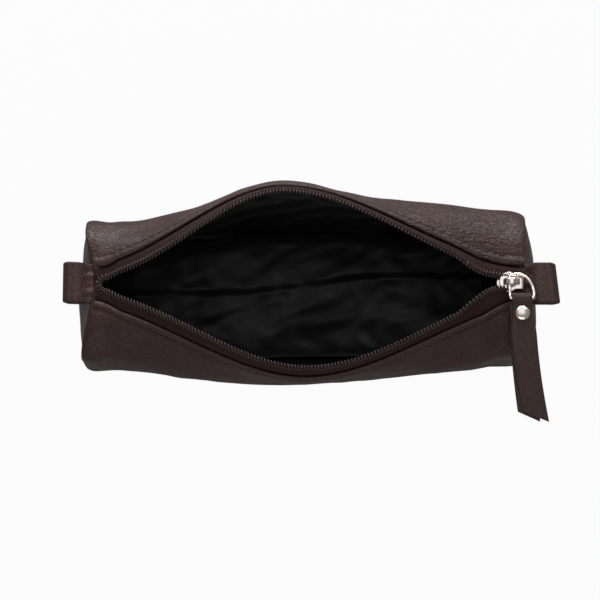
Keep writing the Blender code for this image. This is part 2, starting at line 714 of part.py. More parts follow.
def turned(name, profile, centre, material, parent=None):
    """A turned solid on the strap's normal through centre, from pairs of radius and lift that start and end at 0."""
    angles = np.linspace(0, 2 * math.pi, ROUND_STEPS, endpoint=False)
    tilt = Matrix.Rotation(STRAP_SLOPE, 3, "X")
    vertices = []
    rings = []
    for radius, lift in profile:
        start = len(vertices)
        if radius == 0:
            vertices.append(Vector((0, 0, lift)))
            rings.append([start] * ROUND_STEPS)
            continue
        vertices += [Vector((radius * math.cos(a), radius * math.sin(a), lift)) for a in angles]
        rings.append(list(range(start, start + ROUND_STEPS)))
    faces = []
    for lower, upper in zip(rings[:-1], rings[1:]):
        for corner in range(ROUND_STEPS):
            following = (corner + 1) % ROUND_STEPS
            face = [lower[corner], lower[following], upper[following], upper[corner]]
            faces.append(list(dict.fromkeys(face)))
    placed = [tilt @ v + Vector(centre) for v in vertices]
    return add_object(name, placed, faces, material, parent)


def build_rivet(swing):
    middle_x = ring_axis()[0] + RING_WIDTH / 2
    y, z = strap_world(RIVET_DISTANCE, 0.0)
    centre = (middle_x, y, z)
    surface = STRAP_LEATHER + GAP / 2 + GAP
    angles = np.linspace(0, math.pi / 2, DOME_STEPS + 1)
    rim = surface + RIVET_CAP_RIM
    dome = [
        (RIVET_CAP_RADIUS * math.cos(a), rim + (RIVET_CAP_HEIGHT - RIVET_CAP_RIM) * math.sin(a)) for a in angles[:-1]
    ]
    cap = [(0, surface), (RIVET_CAP_RADIUS, surface)] + dome + [(0, surface + RIVET_CAP_HEIGHT)]
    turned("rivet_cap", cap, centre, "rivet_metal", swing)
    base = [
        (0, -surface - RIVET_BASE_THICKNESS),
        (RIVET_BASE_RADIUS, -surface - RIVET_BASE_THICKNESS),
        (RIVET_BASE_RADIUS, -surface),
        (RIVET_POST_RADIUS, -surface),
        (RIVET_POST_RADIUS, surface - GAP),
        (0, surface - GAP),
    ]
    turned("rivet_base", base, centre, "rivet_metal", swing)


def loop_outline(root, half_height, start, wall):
    """Outline of the folded loop from the side: distance out from its root, and height off its middle."""
    tip_centre = LOOP_LENGTH - LOOP_EYE_HALF_HEIGHT - LOOP_LEATHER
    along = np.linspace(start, LOOP_EYE_FULL, LOOP_SIDE_STEPS)
    height = root + (half_height - root) * smooth((along - LOOP_EYE_START) / (LOOP_EYE_FULL - LOOP_EYE_START))
    angles = np.linspace(math.pi / 2, -math.pi / 2, LOOP_TIP_STEPS)
    tip = [(tip_centre + half_height * math.cos(a), half_height * math.sin(a)) for a in angles]
    upper = list(zip(along, height))
    lower = [(x, -z) for x, z in reversed(upper)]
    nose_angles = np.linspace(math.pi * 1.5, math.pi / 2, LOOP_SIDE_STEPS + 2)[1:-1]
    nose = [(start + wall * math.cos(a), root * math.sin(a)) for a in nose_angles]
    return np.array(upper + tip + lower + nose)


def loop_hinge(end):
    """World x and z of the line that an end loop bends about, beside the end seam."""
    return end * (float(seam_x(LOOP_HEIGHT)) + LOOP_SEAM_GAP + LOOP_ROOT_RADIUS), LOOP_HEIGHT


def build_loop(name, end):
    hinge_x, hinge_z = loop_hinge(end)
    hinge = axis_empty(f"{name}_hinge", (hinge_x, 0, hinge_z))
    outer = loop_outline(LOOP_ROOT_RADIUS, LOOP_EYE_HALF_HEIGHT + LOOP_LEATHER, 0.0, LOOP_ROOT_RADIUS)
    inner = loop_outline(GAP, LOOP_EYE_HALF_HEIGHT, LOOP_EYE_START, GAP)
    count = len(outer)
    vertices = []
    for y in (-LOOP_WIDTH / 2, LOOP_WIDTH / 2):
        for outline in (outer, inner):
            vertices += [(hinge_x + end * x, y, hinge_z + z) for x, z in outline]
    faces = []
    for corner in range(count):
        following = (corner + 1) % count
        for first, second in ((0, 1), (2, 3), (0, 2), (1, 3)):
            a, b = first * count, second * count
            faces.append([a + corner, a + following, b + following, b + corner])
    add_object(name, vertices, faces, "body_leather", hinge)


def main():
    for item in list(bpy.data.objects):
        bpy.data.objects.remove(item)
    build_base()
    build_ends()
    build_base_lining()
    for wall, side in (("front", FRONT), ("back", BACK)):
        hinge = axis_empty(f"{wall}_hinge", (0, side * HINGE_HALF_WIDTH, BASE_EDGE_HEIGHT))
        build_wall(wall, side, hinge)
        build_hem(wall, side, hinge)
        build_lining(wall, side, hinge)
        build_tape(wall, side, hinge)
        build_coil(wall, side, hinge)
    carriage = axis_empty("slider_carriage", (SLIDER_NOSE_X, 0, SLIDER_LOW_Z))
    build_slider(carriage)
    build_crown(carriage)
    axis_x, axis_z = ring_axis()
    ring_swing = axis_empty("ring_swing", (axis_x, 0, axis_z), carriage)
    build_ring(ring_swing)
    bar_y, bar_z = bar_axis()
    strap_swing = axis_empty("strap_swing", (axis_x, bar_y, bar_z), ring_swing)
    build_strap(strap_swing)
    build_rivet(strap_swing)
    build_loop("left_loop", -1)
    build_loop("right_loop", 1)


if __name__ == "__main__":
    main()
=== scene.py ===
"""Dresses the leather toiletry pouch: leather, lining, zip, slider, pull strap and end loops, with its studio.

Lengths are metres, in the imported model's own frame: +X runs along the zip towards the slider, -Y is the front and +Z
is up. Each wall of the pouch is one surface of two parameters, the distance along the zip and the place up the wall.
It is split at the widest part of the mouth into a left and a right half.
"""

from __future__ import annotations

import logging
import math
from dataclasses import dataclass
from enum import Enum

import bmesh
import bpy
import numpy as np
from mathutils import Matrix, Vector

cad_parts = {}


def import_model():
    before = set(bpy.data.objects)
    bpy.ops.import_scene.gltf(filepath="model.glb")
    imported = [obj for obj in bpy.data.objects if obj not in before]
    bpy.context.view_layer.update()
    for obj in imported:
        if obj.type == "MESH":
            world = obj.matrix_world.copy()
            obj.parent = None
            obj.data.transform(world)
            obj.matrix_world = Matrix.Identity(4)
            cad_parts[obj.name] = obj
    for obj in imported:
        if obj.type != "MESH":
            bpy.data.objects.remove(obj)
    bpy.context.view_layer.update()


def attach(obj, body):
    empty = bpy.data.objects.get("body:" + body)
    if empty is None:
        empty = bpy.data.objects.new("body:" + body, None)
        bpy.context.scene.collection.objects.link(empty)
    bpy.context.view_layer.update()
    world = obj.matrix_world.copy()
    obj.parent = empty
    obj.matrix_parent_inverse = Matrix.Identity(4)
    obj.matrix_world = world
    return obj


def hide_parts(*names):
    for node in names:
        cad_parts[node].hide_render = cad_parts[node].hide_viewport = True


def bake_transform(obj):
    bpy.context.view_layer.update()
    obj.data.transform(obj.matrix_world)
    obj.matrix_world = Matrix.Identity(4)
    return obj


MM = 0.001
STEP = 0.5 * MM  # a short step along a piece, to find its direction
log = logging.getLogger("pouch")

Array = np.ndarray
Material = bpy.types.Material
Piece = bpy.types.Object
Socket = bpy.types.NodeSocket
Colour = tuple[float, float, float]
Shape = tuple[Array, list[list[int]]]


class Wall(Enum):
    """The two walls: the word in their pieces' names, the sign of their Y, and the name of the body that their middle
    would be on, which nothing here uses.
    """

    FRONT = ("front", -1.0, "front_mouth")
    BACK = ("back", 1.0, "back_mouth")

    def __init__(self, title: str, side: float, body: str) -> None:
        """Names the parts of the value."""
        self.title, self.side, self.body = title, side, body


class Stretch(Enum):
    """The stretches of a zip side: a long one each way from the middle, and the last one beside the slider."""

    LEFT = "left"
    RIGHT = "right"
    LAST = "right_last"


class End(Enum):
    """The two ends of the pouch: the word in their pieces' names, and the sign of their X."""

    LEFT = ("left", -1.0)
    RIGHT = ("right", 1.0)

    def __init__(self, title: str, sign: float) -> None:
        """Names the parts of the value."""
        self.title, self.sign = title, sign


def smooth(share: Array) -> Array:
    """Eases a share at both ends: 3 s squared minus 2 s cubed, with s held between 0 and 1."""
    share = np.clip(share, 0.0, 1.0)
    return share * share * (3.0 - 2.0 * share)


def unit(vectors: Array) -> Array:
    """Divides each vector by its length."""
    return vectors / np.linalg.norm(vectors, axis=-1, keepdims=True)


def unit_circle(sides: int) -> Array:
    """Points set evenly round a circle of radius 1, as pairs."""
    angles = np.linspace(0, 2 * math.pi, sides, endpoint=False)
    return np.stack([np.cos(angles), np.sin(angles)], axis=-1)


def rounded_edge(share: Array) -> Array:
    """The drop of a rounded edge at a share of its run: a quarter circle, stopped short of its upright end."""
    return 1 - np.sqrt(1 - 0.98 * share**2)


def through_points(points: Array, place: Array) -> tuple[Array, Array]:
    """A smooth curve through control points: on each span, the cubic whose slope at a point joins its neighbours.

    Args:
        points: control points on the last axis but one; the axes before it match place, or have length 1.
        place: where to read the curve, from 0 at the first point to 1 at the last.

    Returns:
        The positions and the directions there.
    """
    before = 2 * points[..., :1, :] - points[..., 1:2, :]
    after = 2 * points[..., -1:, :] - points[..., -2:-1, :]
    padded = np.concatenate([before, points, after], axis=-2)
    spans = points.shape[-2] - 1
    along = np.clip(place, 0.0, 1.0) * spans
    span = np.minimum(along.astype(int), spans - 1)
    t = (along - span)[..., None]
    padded = np.broadcast_to(padded, place.shape + padded.shape[-2:])
    a, b, c, d = (
        np.take_along_axis(padded, (span + step)[..., None, None], axis=-2)[..., 0, :] for step in range(4)
    )
    linear, square, cube = c - a, 2 * a - 5 * b + 4 * c - d, 3 * b - a - 3 * c + d
    return b + (linear * t + square * t**2 + cube * t**3) / 2, (linear + 2 * square * t + 3 * cube * t**2) / 2


def table_curve(table: tuple[float, ...], place: Array) -> Array:
    """A smooth curve through evenly spaced millimetres, read in metres at places from 0 at the first to 1."""
    return through_points(np.array(table)[:, None] * MM, place)[0][..., 0]


def ripples(a: Array, b: Array, length: float, seed: float) -> Array:
    """Soft irregular waves, from -1 to 1: sines of a and b whose phases are bent by slower sines.

    Args:
        a: first coordinate, in metres.
        b: second coordinate, in metres.
        length: the waves' length, in metres.
        seed: shifts the pattern.

    Returns:
        The height of the waves.
    """
    k = 2 * math.pi / length
    bend = 1.7 * np.sin(0.43 * k * b + seed) + 1.1 * np.sin(0.31 * k * a - 2.1 * seed)
    first = np.sin(k * (0.86 * a + 0.5 * b) + bend + seed)
    second = np.sin(k * (0.9 * b - 0.55 * a) * 1.31 - 0.8 * bend + 3.1 * seed)
    return 0.5 * (first + second)


def grid_faces(rows: int, columns: int, ring: bool = False, tube: bool = False) -> Array:
    """Four-cornered faces of a grid of points, counted row by row.

    Args:
        rows: number of rows.
        columns: number of points in a row.
        ring: joins the last row to the first.
        tube: joins the last point of each row to the first.

    Returns:
        Faces as rows of four indices.
    """
    index = np.arange(rows * columns).reshape(rows, columns)
    if ring:
        index = np.concatenate([index, index[:1]])
    if tube:
        index = np.concatenate([index, index[:, :1]], axis=1)
    corners = (index[:-1, :-1], index[:-1, 1:], index[1:, 1:], index[1:, :-1])
    return np.stack([c.ravel() for c in corners], axis=-1)


def tube_faces(rings: int, count: int, closed: bool = False) -> list[list[int]]:
    """Faces of a tube: four-cornered ones between its rings, and one over each open end.

    Args:
        rings: number of rings.
        count: points in a ring.
        closed: joins the last ring to the first instead.

    Returns:
        Corner indices of each face.
    """
    faces = grid_faces(rings, count, ring=closed, tube=True).tolist()
    if not closed:
        faces.append(list(range(count))[::-1])
        faces.append(list(range((rings - 1) * count, rings * count)))
    return faces


def joined(parts: list[Shape]) -> Shape:
    """Puts several shapes together.

    Args:
        parts: vertices and faces of each shape.

    Returns:
        Vertices and faces of them all.
    """
    vertices, faces, count = [], [], 0
    for points, corners in parts:
        faces += [[c + count for c in face] for face in corners]
        vertices.append(np.asarray(points))
        count += len(points)
    return np.concatenate(vertices), faces


def make_piece(
    name: str,
    shape: Shape,
    material: Material,
    uv: Array | None = None,
    crease: float = 40.0,
) -> Piece:
    """Puts points and faces into a mesh object that stands at the origin.

    Args:
        name: the piece's name.
        shape: points in the model's frame, and the corner indices of each face.
        material: the finish.
        uv: one pair for each vertex, for a pattern that follows the surface.
        crease: edges sharper than this many degrees aren't shaded smooth.

    Returns:
        The new object, closed and facing outwards.
    """
    mesh = bpy.data.meshes.new(name)
    mesh.from_pydata(np.asarray(shape[0], float).reshape(-1, 3).tolist(), [], shape[1])
    if uv is not None:
        corner = np.zeros(len(mesh.loops), np.int32)
        mesh.loops.foreach_get("vertex_index", corner)
        layer = mesh.uv_layers.new(name="surface")
        layer.data.foreach_set("uv", np.asarray(uv, np.float32)[corner].ravel())
    work = bmesh.new()
    work.from_mesh(mesh)
    bmesh.ops.recalc_face_normals(work, faces=work.faces)
    work.to_mesh(mesh)
    work.free()
    mesh.shade_smooth()
    mesh.set_sharp_from_angle(angle=math.radians(crease))
    mesh.materials.append(material)
    piece = bpy.data.objects.new(name, mesh)
    bpy.context.scene.collection.objects.link(piece)
    log.info("%s: %d faces", name, len(mesh.polygons))
    return piece


def folded_sheet(outer: Array, inner: Array, roll: Array | None = None) -> Shape:
    """A closed sheet between two grids, with a rounded upper edge.

    The rows run up the outer grid, round the roll and down the inner grid, and join into a ring. The two ends are
    closed by faces that join each outer row to the inner row behind it.

    Args:
        outer: rows by columns by 3.
        inner: the same shape.
        roll: any rows that round the edge from the last outer row to the last inner row.

    Returns:
        Vertices and faces.
    """
    rows, columns = outer.shape[:2]
    between = [] if roll is None else [roll]
    grid = np.concatenate([outer, *between, inner[::-1]])
    faces = grid_faces(len(grid), columns, ring=True).tolist()
    last = len(grid) - 1
    for column in (0, columns - 1):
        for row in range(rows - 1):
            quad = [row, row + 1, last - row - 1, last - row]
            faces.append([r * columns + column for r in quad])
        if roll is not None:
            faces.append([r * columns + column for r in range(rows - 1, last - rows + 2)])
    return grid.reshape(-1, 3), faces


def two_faced(first: Array, second: Array) -> Array:
    """UV pairs for a folded sheet whose two faces show the same pattern."""
    uv = np.stack([first, second], axis=-1)
    return np.concatenate([uv, uv[::-1]]).reshape(-1, 2)


def rounded_section(steps: int, corner: float) -> Array:
    """Outline of a flat strip with rounded edges, one wide and one thick: a rectangle with quarter circles.

    Args:
        steps: points on each quarter circle.
        corner: the corner's reach along the width, as a share of it.

    Returns:
        Pairs of width share and thickness share, each from -0.5 to 0.5.
    """
    angles = np.linspace(0, math.pi / 2, steps)
    quarter = np.stack([0.5 - corner + corner * np.cos(angles), 0.5 * np.sin(angles)], axis=-1)
    upper = np.concatenate([quarter, quarter[::-1] * [-1, 1]])
    return np.concatenate([upper, upper[::-1][1:-1] * [1, -1]])


def swept(path: Array, across: Array, up: Array, section: Array, closed: bool = False) -> Shape:
    """Carries a section along a path.

    Args:
        path: points by 3.
        across: the section's first direction at each point, as long as it is to be wide.
        up: the section's second direction at each point, as long as it is to be thick.
        section: pairs that multiply across and up.
        closed: joins the path's end to its start.

    Returns:
        Vertices and faces.
    """
    rings = path[:, None] + section[None, :, :1] * across[:, None] + section[None, :, 1:] * up[:, None]
    return rings.reshape(-1, 3), tube_faces(len(rings), len(section), closed)


def round_wire(path: Array, radius: float, sides: int, closed: bool = False) -> Shape:
    """A round wire along a path: circles square to the path, whose first direction leans on a steady upright.

    Args:
        path: points by 3.
        radius: the wire's radius.
        sides: points round it.
        closed: joins the ends.

    Returns:
        Vertices and faces.
    """
    if closed:
        along = np.roll(path, -1, axis=0) - np.roll(path, 1, axis=0)
    else:
        along = np.gradient(path, axis=0)
    along = unit(along)
    steady = unit(np.array([[0.13, 0.21, 1.0]]))
    across = unit(np.cross(along, steady))
    up = np.cross(across, along)
    return swept(path, across * radius, up * radius, unit_circle(sides), closed)


def repeated(template: Shape, centres: Array, frames: Array) -> Shape:
    """Copies of one small shape, each turned by its own frame and set at its own centre.

    Args:
        template: vertices and faces of the shape.
        centres: copies by 3.
        frames: copies by 3 by 3, whose rows are the shape's X, Y and Z there.

    Returns:
        Vertices and faces of all the copies.
    """
    points, faces = np.asarray(template[0]), template[1]
    vertices = np.einsum("vk,ckj->cvj", points, frames) + centres[:, None]
    everything = []
    for size in sorted({len(f) for f in faces}):
        group = np.array([f for f in faces if len(f) == size])
        copies = group[None] + np.arange(len(centres))[:, None, None] * len(points)
        everything += copies.reshape(-1, size).tolist()
    return vertices.reshape(-1, 3), everything


def capsule(length: float, radius: float, sag: float, sides: int = 6, rings: int = 6) -> Shape:
    """One stitch: a thread along X, drawn in at its ends to a blunt tip and bowed down there.

    Args:
        length: from end to end.
        radius: of the thread.
        sag: how far the ends dip into the leather.
        sides: points round the thread.
        rings: circles along it.

    Returns:
        Vertices and faces.
    """
    place = np.linspace(-0.985, 0.985, rings)
    path = np.stack([place * length / 2, np.zeros(rings), -sag * place**2], axis=-1)
    size = radius * np.sqrt(1 - np.abs(place) ** 4)
    across, up = (size[:, None] * axis for axis in ([[0.0, 1.0, 0.0]], [[0.0, 0.0, 1.0]]))
    return swept(path, across, up, unit_circle(sides))


def rounded_block(outline: Array, low: float, high: float, edge: float, steps: int = 4) -> Shape:
    """An outline raised from low to high, whose upper and lower edges are quarter circles.

    Args:
        outline: pairs, in order round the shape.
        low: where it starts along the third axis.
        high: where it ends.
        edge: radius of the rounded edges.
        steps: points on each quarter circle.

    Returns:
        Vertices, as outline pair and height, and faces.
    """
    ahead = unit(np.roll(outline, -1, axis=0) - outline)
    behind = np.roll(ahead, 1, axis=0)
    direction = unit(ahead + behind)
    normal = np.stack([direction[:, 1], -direction[:, 0]], axis=-1)
    area = np.sum(outline[:, 0] * np.roll(outline[:, 1], -1) - np.roll(outline[:, 0], -1) * outline[:, 1])
    normal *= math.copysign(1.0, area)
    angles = np.linspace(0, math.pi / 2, steps)
    inset = edge * (1 - np.cos(angles))
    rise = edge * np.sin(angles)
    heights = np.concatenate([low + edge - rise[::-1], high - edge + rise])
    insets = np.concatenate([inset[::-1], inset])
    rings = outline[None] - normal[None] * insets[:, None, None]
    tall = np.broadcast_to(heights[:, None, None], (len(heights), len(outline), 1))
    vertices = np.concatenate([rings, tall], axis=-1).reshape(-1, 3)
    return vertices, tube_faces(len(heights), len(outline))


def turned(profile: Array, centre: Array, axis: Array, sides: int = 48) -> Shape:
    """A turned solid: circles of each radius at each height along an axis, closed by a face at both ends.

    Args:
        profile: pairs of radius and height.
        centre: where the height is 0.
        axis: the direction of the height.
        sides: points round it.

    Returns:
        Vertices and faces.
    """
    axis = axis / np.linalg.norm(axis)
    path = centre[None] + profile[:, 1:] * axis[None]
    first = unit(np.cross(axis, [0.0, 1.0, 0.2])[None])
    second = np.cross(axis[None], first)
    return swept(path, first * profile[:, :1], second * profile[:, :1], unit_circle(sides))


def shade(colour: Colour, factor: float = 1.0) -> tuple[float, ...]:
    """A colour times a factor, with its alpha."""
    return (*(factor * c for c in colour), 1.0)


class Nodes:
    """A small writer of shader nodes."""

    def __init__(self, tree: bpy.types.NodeTree) -> None:
        """Starts on a tree."""
        self.tree = tree

    def add(self, kind: str, inputs: dict | None = None, **settings: object) -> bpy.types.Node:
        """Adds a node.

        Args:
            kind: the node's type.
            inputs: socket name or number to a value or another node's output.
            settings: the node's own properties.

        Returns:
            The node.
        """
        node = self.tree.nodes.new(kind)
        for key, value in settings.items():
            setattr(node, key, value)
        for key, value in (inputs or {}).items():
            self.put(node.inputs[key], value)
        return node

    def put(self, socket: Socket, value: object) -> None:
        """Sets a socket to a value, or links it to an output.

        Args:
            socket: the input.
            value: a value of the socket's own kind, or another node's output.
        """
        if isinstance(value, Socket):
            self.tree.links.new(value, socket)
        else:
            socket.default_value = value

    def ramp(self, value: Socket, low: float, high: float, to_low: float, to_high: float) -> Socket:
        """Maps a value from one range to another, held at both ends."""
        inputs = {"Value": value, "From Min": low, "From Max": high, "To Min": to_low, "To Max": to_high}
        return self.add("ShaderNodeMapRange", inputs).outputs["Result"]

    def maths(self, operation: str, first: object, second: object = 0.0) -> Socket:
        """Adds, multiplies or otherwise joins two values."""
        return self.add("ShaderNodeMath", {0: first, 1: second}, operation=operation).outputs[0]


class Shader(Nodes):
    """A writer of a material's nodes round its Principled shader."""

    def __init__(self, name: str) -> None:
        """Starts a material with a Principled shader.

        Args:
            name: the material's name.
        """
        self.material = bpy.data.materials.new(name)
        self.material.use_nodes = True
        super().__init__(self.material.node_tree)
        self.shader = self.tree.nodes["Principled BSDF"]
        self.place = self.add("ShaderNodeTexCoord").outputs["Object"]

    def noise(self, scale: float, detail: float, vector: Socket | None = None) -> Socket:
        """A cloudy value from 0 to 1, with scale patches in each metre."""
        inputs = {"Vector": vector or self.place, "Scale": scale, "Detail": detail}
        return self.add("ShaderNodeTexNoise", inputs).outputs["Fac"]

    def cell_edges(self, vector: Socket, scale: float) -> Socket:
        """Distance to the edge of the nearest cell, with scale cells in each unit of the vector."""
        inputs = {"Vector": vector, "Scale": scale}
        return self.add("ShaderNodeTexVoronoi", inputs, feature="DISTANCE_TO_EDGE").outputs["Distance"]

    def mixed(self, share: object, first: object, second: object) -> Socket:
        """Mixes two colours, by the share of the second."""
        return self.add("ShaderNodeMix", {0: share, 6: first, 7: second}, data_type="RGBA").outputs[2]

    def bump(self, height: Socket, depth: float, strength: float, normal: Socket | None = None) -> Socket:
        """Turns a height into a surface normal.

        Args:
            height: from 0 to 1.
            depth: what a height of 1 means, in metres.
            strength: from 0 to 1.
            normal: the normal that this one lies on.

        Returns:
            The new normal.
        """
        node = self.add("ShaderNodeBump", {"Height": height, "Distance": depth, "Strength": strength})
        if normal is not None:
            self.put(node.inputs["Normal"], normal)
        return node.outputs["Normal"]

    def paint(self, inputs: dict[str, object]) -> Material:
        """Sets inputs of the Principled shader.

        Args:
            inputs: socket name to a value or an output.

        Returns:
            The material.
        """
        for name, value in inputs.items():
            self.put(self.shader.inputs[name], value)
        return self.material


@dataclass(frozen=True)
class Wrinkles:
    """A patch of milled leather: its middle, its radius, the turn of its wrinkles' line, and their strength."""

    centre: tuple[float, float, float]
    radius: float
    angle: float
    amount: float


@dataclass(frozen=True)
class Leather:
    """Full-grain leather: pebbled grain with painted shade in its pits, fine creases, cloudy colour, and a low sheen
    that the grain breaks up.
    """

    name: str
    colour: Colour
    worn: Colour
    # painted shade: a near-black colour for the grain's pits
    painted_pit_shade: Colour = (0.010, 0.005, 0.004)
    roughness: float = 0.36
    wander: float = 1.6 * MM
    grain_size: float = 1.1 * MM
    grain_depth: float = 0.12 * MM
    pore_depth: float = 0.03 * MM
    crease_size: float = 5.5 * MM
    crease_depth: float = 0.22 * MM
    soft_depth: float = 0.5 * MM
    wrinkle_depth: float = 0.75 * MM
    specular: float = 0.36
    milled: tuple[Wrinkles, ...] = ()

    def material(self) -> Material:
        """Builds the finish.

        Returns:
            Its material.
        """
        s = Shader(self.name)
        drift = s.add("ShaderNodeTexNoise", {"Vector": s.place, "Scale": 240.0, "Detail": 2.0}).outputs["Color"]
        spread = s.add("ShaderNodeVectorMath", {0: drift, 1: (0.5, 0.5, 0.5)}, operation="SUBTRACT").outputs[0]
        spread = s.add("ShaderNodeVectorMath", {0: spread, "Scale": self.wander}, operation="SCALE").outputs[0]
        bent = s.add("ShaderNodeVectorMath", {0: s.place, 1: spread}, operation="ADD").outputs[0]
        pebble = s.ramp(s.cell_edges(bent, 1 / self.grain_size), 0.0, 0.22, 0.0, 1.0)
        crease = s.ramp(s.cell_edges(bent, 1 / self.crease_size), 0.0, 0.12, 0.0, 1.0)
        pores, patches, soft = s.noise(2600.0, 3.0), s.noise(38.0, 3.0), s.noise(150.0, 4.0)
        where = s.ramp(patches, 0.42, 0.66, 0.15, 1.0)
        faded = s.maths("SUBTRACT", 1.0, s.maths("MULTIPLY", s.maths("SUBTRACT", 1.0, crease), where))
        # Painted shade: the pits between the grain's pebbles are mixed up to 55% towards the dark pit colour.
        pit_shaded = s.mixed(s.ramp(pebble, 0.0, 1.0, 0.55, 0.0), shade(self.colour), shade(self.painted_pit_shade))
        cloudy = s.mixed(s.ramp(patches, 0.45, 0.8, 0.0, 0.7), pit_shaded, shade(self.worn))
        rough = s.maths("ADD", s.ramp(soft, 0.3, 0.7, -0.05, 0.05), s.ramp(pebble, 0.0, 1.0, 0.14, 0.0))
        normal = s.bump(faded, self.crease_depth, 0.55)
        normal = s.bump(soft, self.soft_depth, 0.35, normal)
        for patch in self.milled:
            normal = self.wrinkled(s, bent, patch, normal)
        normal = s.bump(pebble, self.grain_depth, 0.75, normal)
        return s.paint({
            "Base Color": cloudy,
            "Roughness": s.maths("ADD", rough, self.roughness),
            "Specular IOR Level": self.specular,
            "Normal": s.bump(pores, self.pore_depth, 0.35, normal),
        })  # fmt: skip

    def wrinkled(self, s: Shader, bent: Socket, patch: Wrinkles, normal: Socket) -> Socket:
        """Adds long milled wrinkles inside a soft sphere: the cell edges of a pattern stretched along one line.

        Args:
            s: the material's writer.
            bent: the place, slightly wandering.
            patch: where the wrinkles lie.
            normal: the normal so far.

        Returns:
            The new normal.
        """
        inputs = {0: s.place, 1: patch.centre}
        away = s.add("ShaderNodeVectorMath", inputs, operation="DISTANCE").outputs["Value"]
        inside = s.ramp(away, 0.35 * patch.radius, patch.radius, 1.0, 0.0)
        line = s.add("ShaderNodeMapping", {"Vector": bent, "Rotation": (0.0, 0.0, patch.angle)}).outputs[0]
        line = s.add("ShaderNodeMapping", {"Vector": line, "Scale": (240.0, 560.0, 480.0)}).outputs[0]
        ridges = s.ramp(s.cell_edges(line, 1.0), 0.0, 0.35, 0.0, 1.0)
        return s.bump(s.maths("MULTIPLY", ridges, inside), self.wrinkle_depth * patch.amount, 1.0, normal)


@dataclass(frozen=True)
class Satin:
    """Black lining cloth: a tight diagonal weave with soft wrinkles, a faint sheen, and painted highlights where its
    folds rise.
    """

    name: str
    colour: Colour
    thread: float = 0.32 * MM
    fold_depth: float = 4.0 * MM
    wrinkle_depth: float = 0.8 * MM
    weave_depth: float = 0.06 * MM

    def material(self) -> Material:
        """Builds the finish.

        Returns:
            Its material.
        """
        s = Shader(self.name)
        slant = s.add("ShaderNodeMapping", {"Vector": s.place, "Rotation": (0.5, 0.6, 0.9)}).outputs[0]
        inputs = {"Vector": slant, "Scale": 0.314 / self.thread, "Distortion": 0.4}
        weave = s.add("ShaderNodeTexWave", inputs).outputs["Fac"]
        folds, fine = s.noise(26.0, 3.0), s.noise(120.0, 2.0)
        normal = s.bump(folds, self.fold_depth, 0.35)
        normal = s.bump(fine, self.wrinkle_depth, 0.25, normal)
        return s.paint({
            # Painted highlight: where the fold pattern rises, the colour is mixed up to 2.2 times lighter.
            "Base Color": s.mixed(s.ramp(folds, 0.35, 0.75, 0.0, 1.0), shade(self.colour), shade(self.colour, 2.2)),
            "Roughness": s.ramp(fine, 0.3, 0.7, 0.42, 0.58),
            "Specular IOR Level": 0.3,
            "Sheen Weight": 0.12,
            "Sheen Roughness": 0.4,
            "Normal": s.bump(weave, self.weave_depth, 0.5, normal),
        })  # fmt: skip


@dataclass(frozen=True)
class Tape:
    """Woven zip tape: ribs along its length, crossed by finer threads, with painted shade in the weave's low parts, on
    the piece's own UV in metres.
    """

    name: str
    colour: Colour
    rib: float = 0.55 * MM
    thread: float = 0.38 * MM
    weave_depth: float = 0.14 * MM
    fuzz_depth: float = 0.05 * MM

    def material(self) -> Material:
        """Builds the finish.

        Returns:
            Its material.
        """
        s = Shader(self.name)
        where = s.add("ShaderNodeUVMap", uv_map="surface").outputs["UV"]
        parts = s.add("ShaderNodeSeparateXYZ", {"Vector": where}).outputs
        across = s.maths("SINE", s.maths("MULTIPLY", parts["Y"], 2 * math.pi / self.rib))
        slant = s.maths("ADD", parts["X"], s.maths("MULTIPLY", s.maths("ABSOLUTE", across), 0.3 * self.rib))
        along = s.maths("SINE", s.maths("MULTIPLY", slant, 2 * math.pi / self.thread))
        height = s.maths("ADD", s.maths("MULTIPLY", across, 0.3), s.maths("MULTIPLY", along, 0.2))
        height = s.maths("ADD", height, 0.5)
        fuzz = s.bump(s.noise(1500.0, 2.0), self.fuzz_depth, 0.4)
        return s.paint({
            # Painted shade: the weave's low parts are mixed down to 0.45 of the colour.
            "Base Color": s.mixed(s.ramp(height, 0.1, 0.8, 0.0, 1.0), shade(self.colour, 0.45), shade(self.colour)),
            "Roughness": s.ramp(s.noise(900.0, 2.0), 0.3, 0.7, 0.72, 0.9),
            "Specular IOR Level": 0.15,
            "Sheen Weight": 0.05,
            "Normal": s.bump(height, self.weave_depth, 0.8, fuzz),
        })  # fmt: skip


@dataclass(frozen=True)
class Strand:
    """Nylon or thread: a base colour with a fine streak and a set gloss."""

    name: str
    colour: Colour
    roughness: float
    streak: float = 900.0
    streak_depth: float = 0.04 * MM

    def material(self) -> Material:
        """Builds the finish.

        Returns:
            Its material.
        """
        s = Shader(self.name)
        streaks = s.noise(self.streak, 2.0)
        return s.paint({
            "Base Color": s.mixed(streaks, shade(self.colour, 0.6), shade(self.colour, 1.25)),
            "Roughness": s.ramp(streaks, 0.3, 0.7, self.roughness - 0.06, self.roughness + 0.06),
            "Normal": s.bump(streaks, self.streak_depth, 0.4),
        })  # fmt: skip


@dataclass(frozen=True)
class Nickel:
    """Polished nickel plate: hairline scratches and faint cloudy handling marks in the gloss."""

    name: str
    colour: Colour
    roughness: float = 0.16
    scratch_depth: float = 0.01 * MM

    def material(self) -> Material:
        """Builds the finish.

        Returns:
            Its material.
        """
        s = Shader(self.name)
        stretched = s.add("ShaderNodeMapping", {"Vector": s.place, "Scale": (60.0, 1400.0, 500.0)}).outputs[0]
        hairs, clouds = s.noise(1.0, 3.0, stretched), s.noise(420.0, 3.0)
        gloss = s.maths("ADD", s.ramp(clouds, 0.3, 0.7, -0.04, 0.07), s.ramp(hairs, 0.45, 0.7, 0.0, 0.08))
        return s.paint({
            "Base Color": s.mixed(s.ramp(clouds, 0.4, 0.7, 0.0, 0.5), shade(self.colour), shade(self.colour, 0.82)),
            "Metallic": 1.0,
            "Roughness": s.maths("ADD", gloss, self.roughness),
            "Normal": s.bump(hairs, self.scratch_depth, 0.25),
        })  # fmt: skip


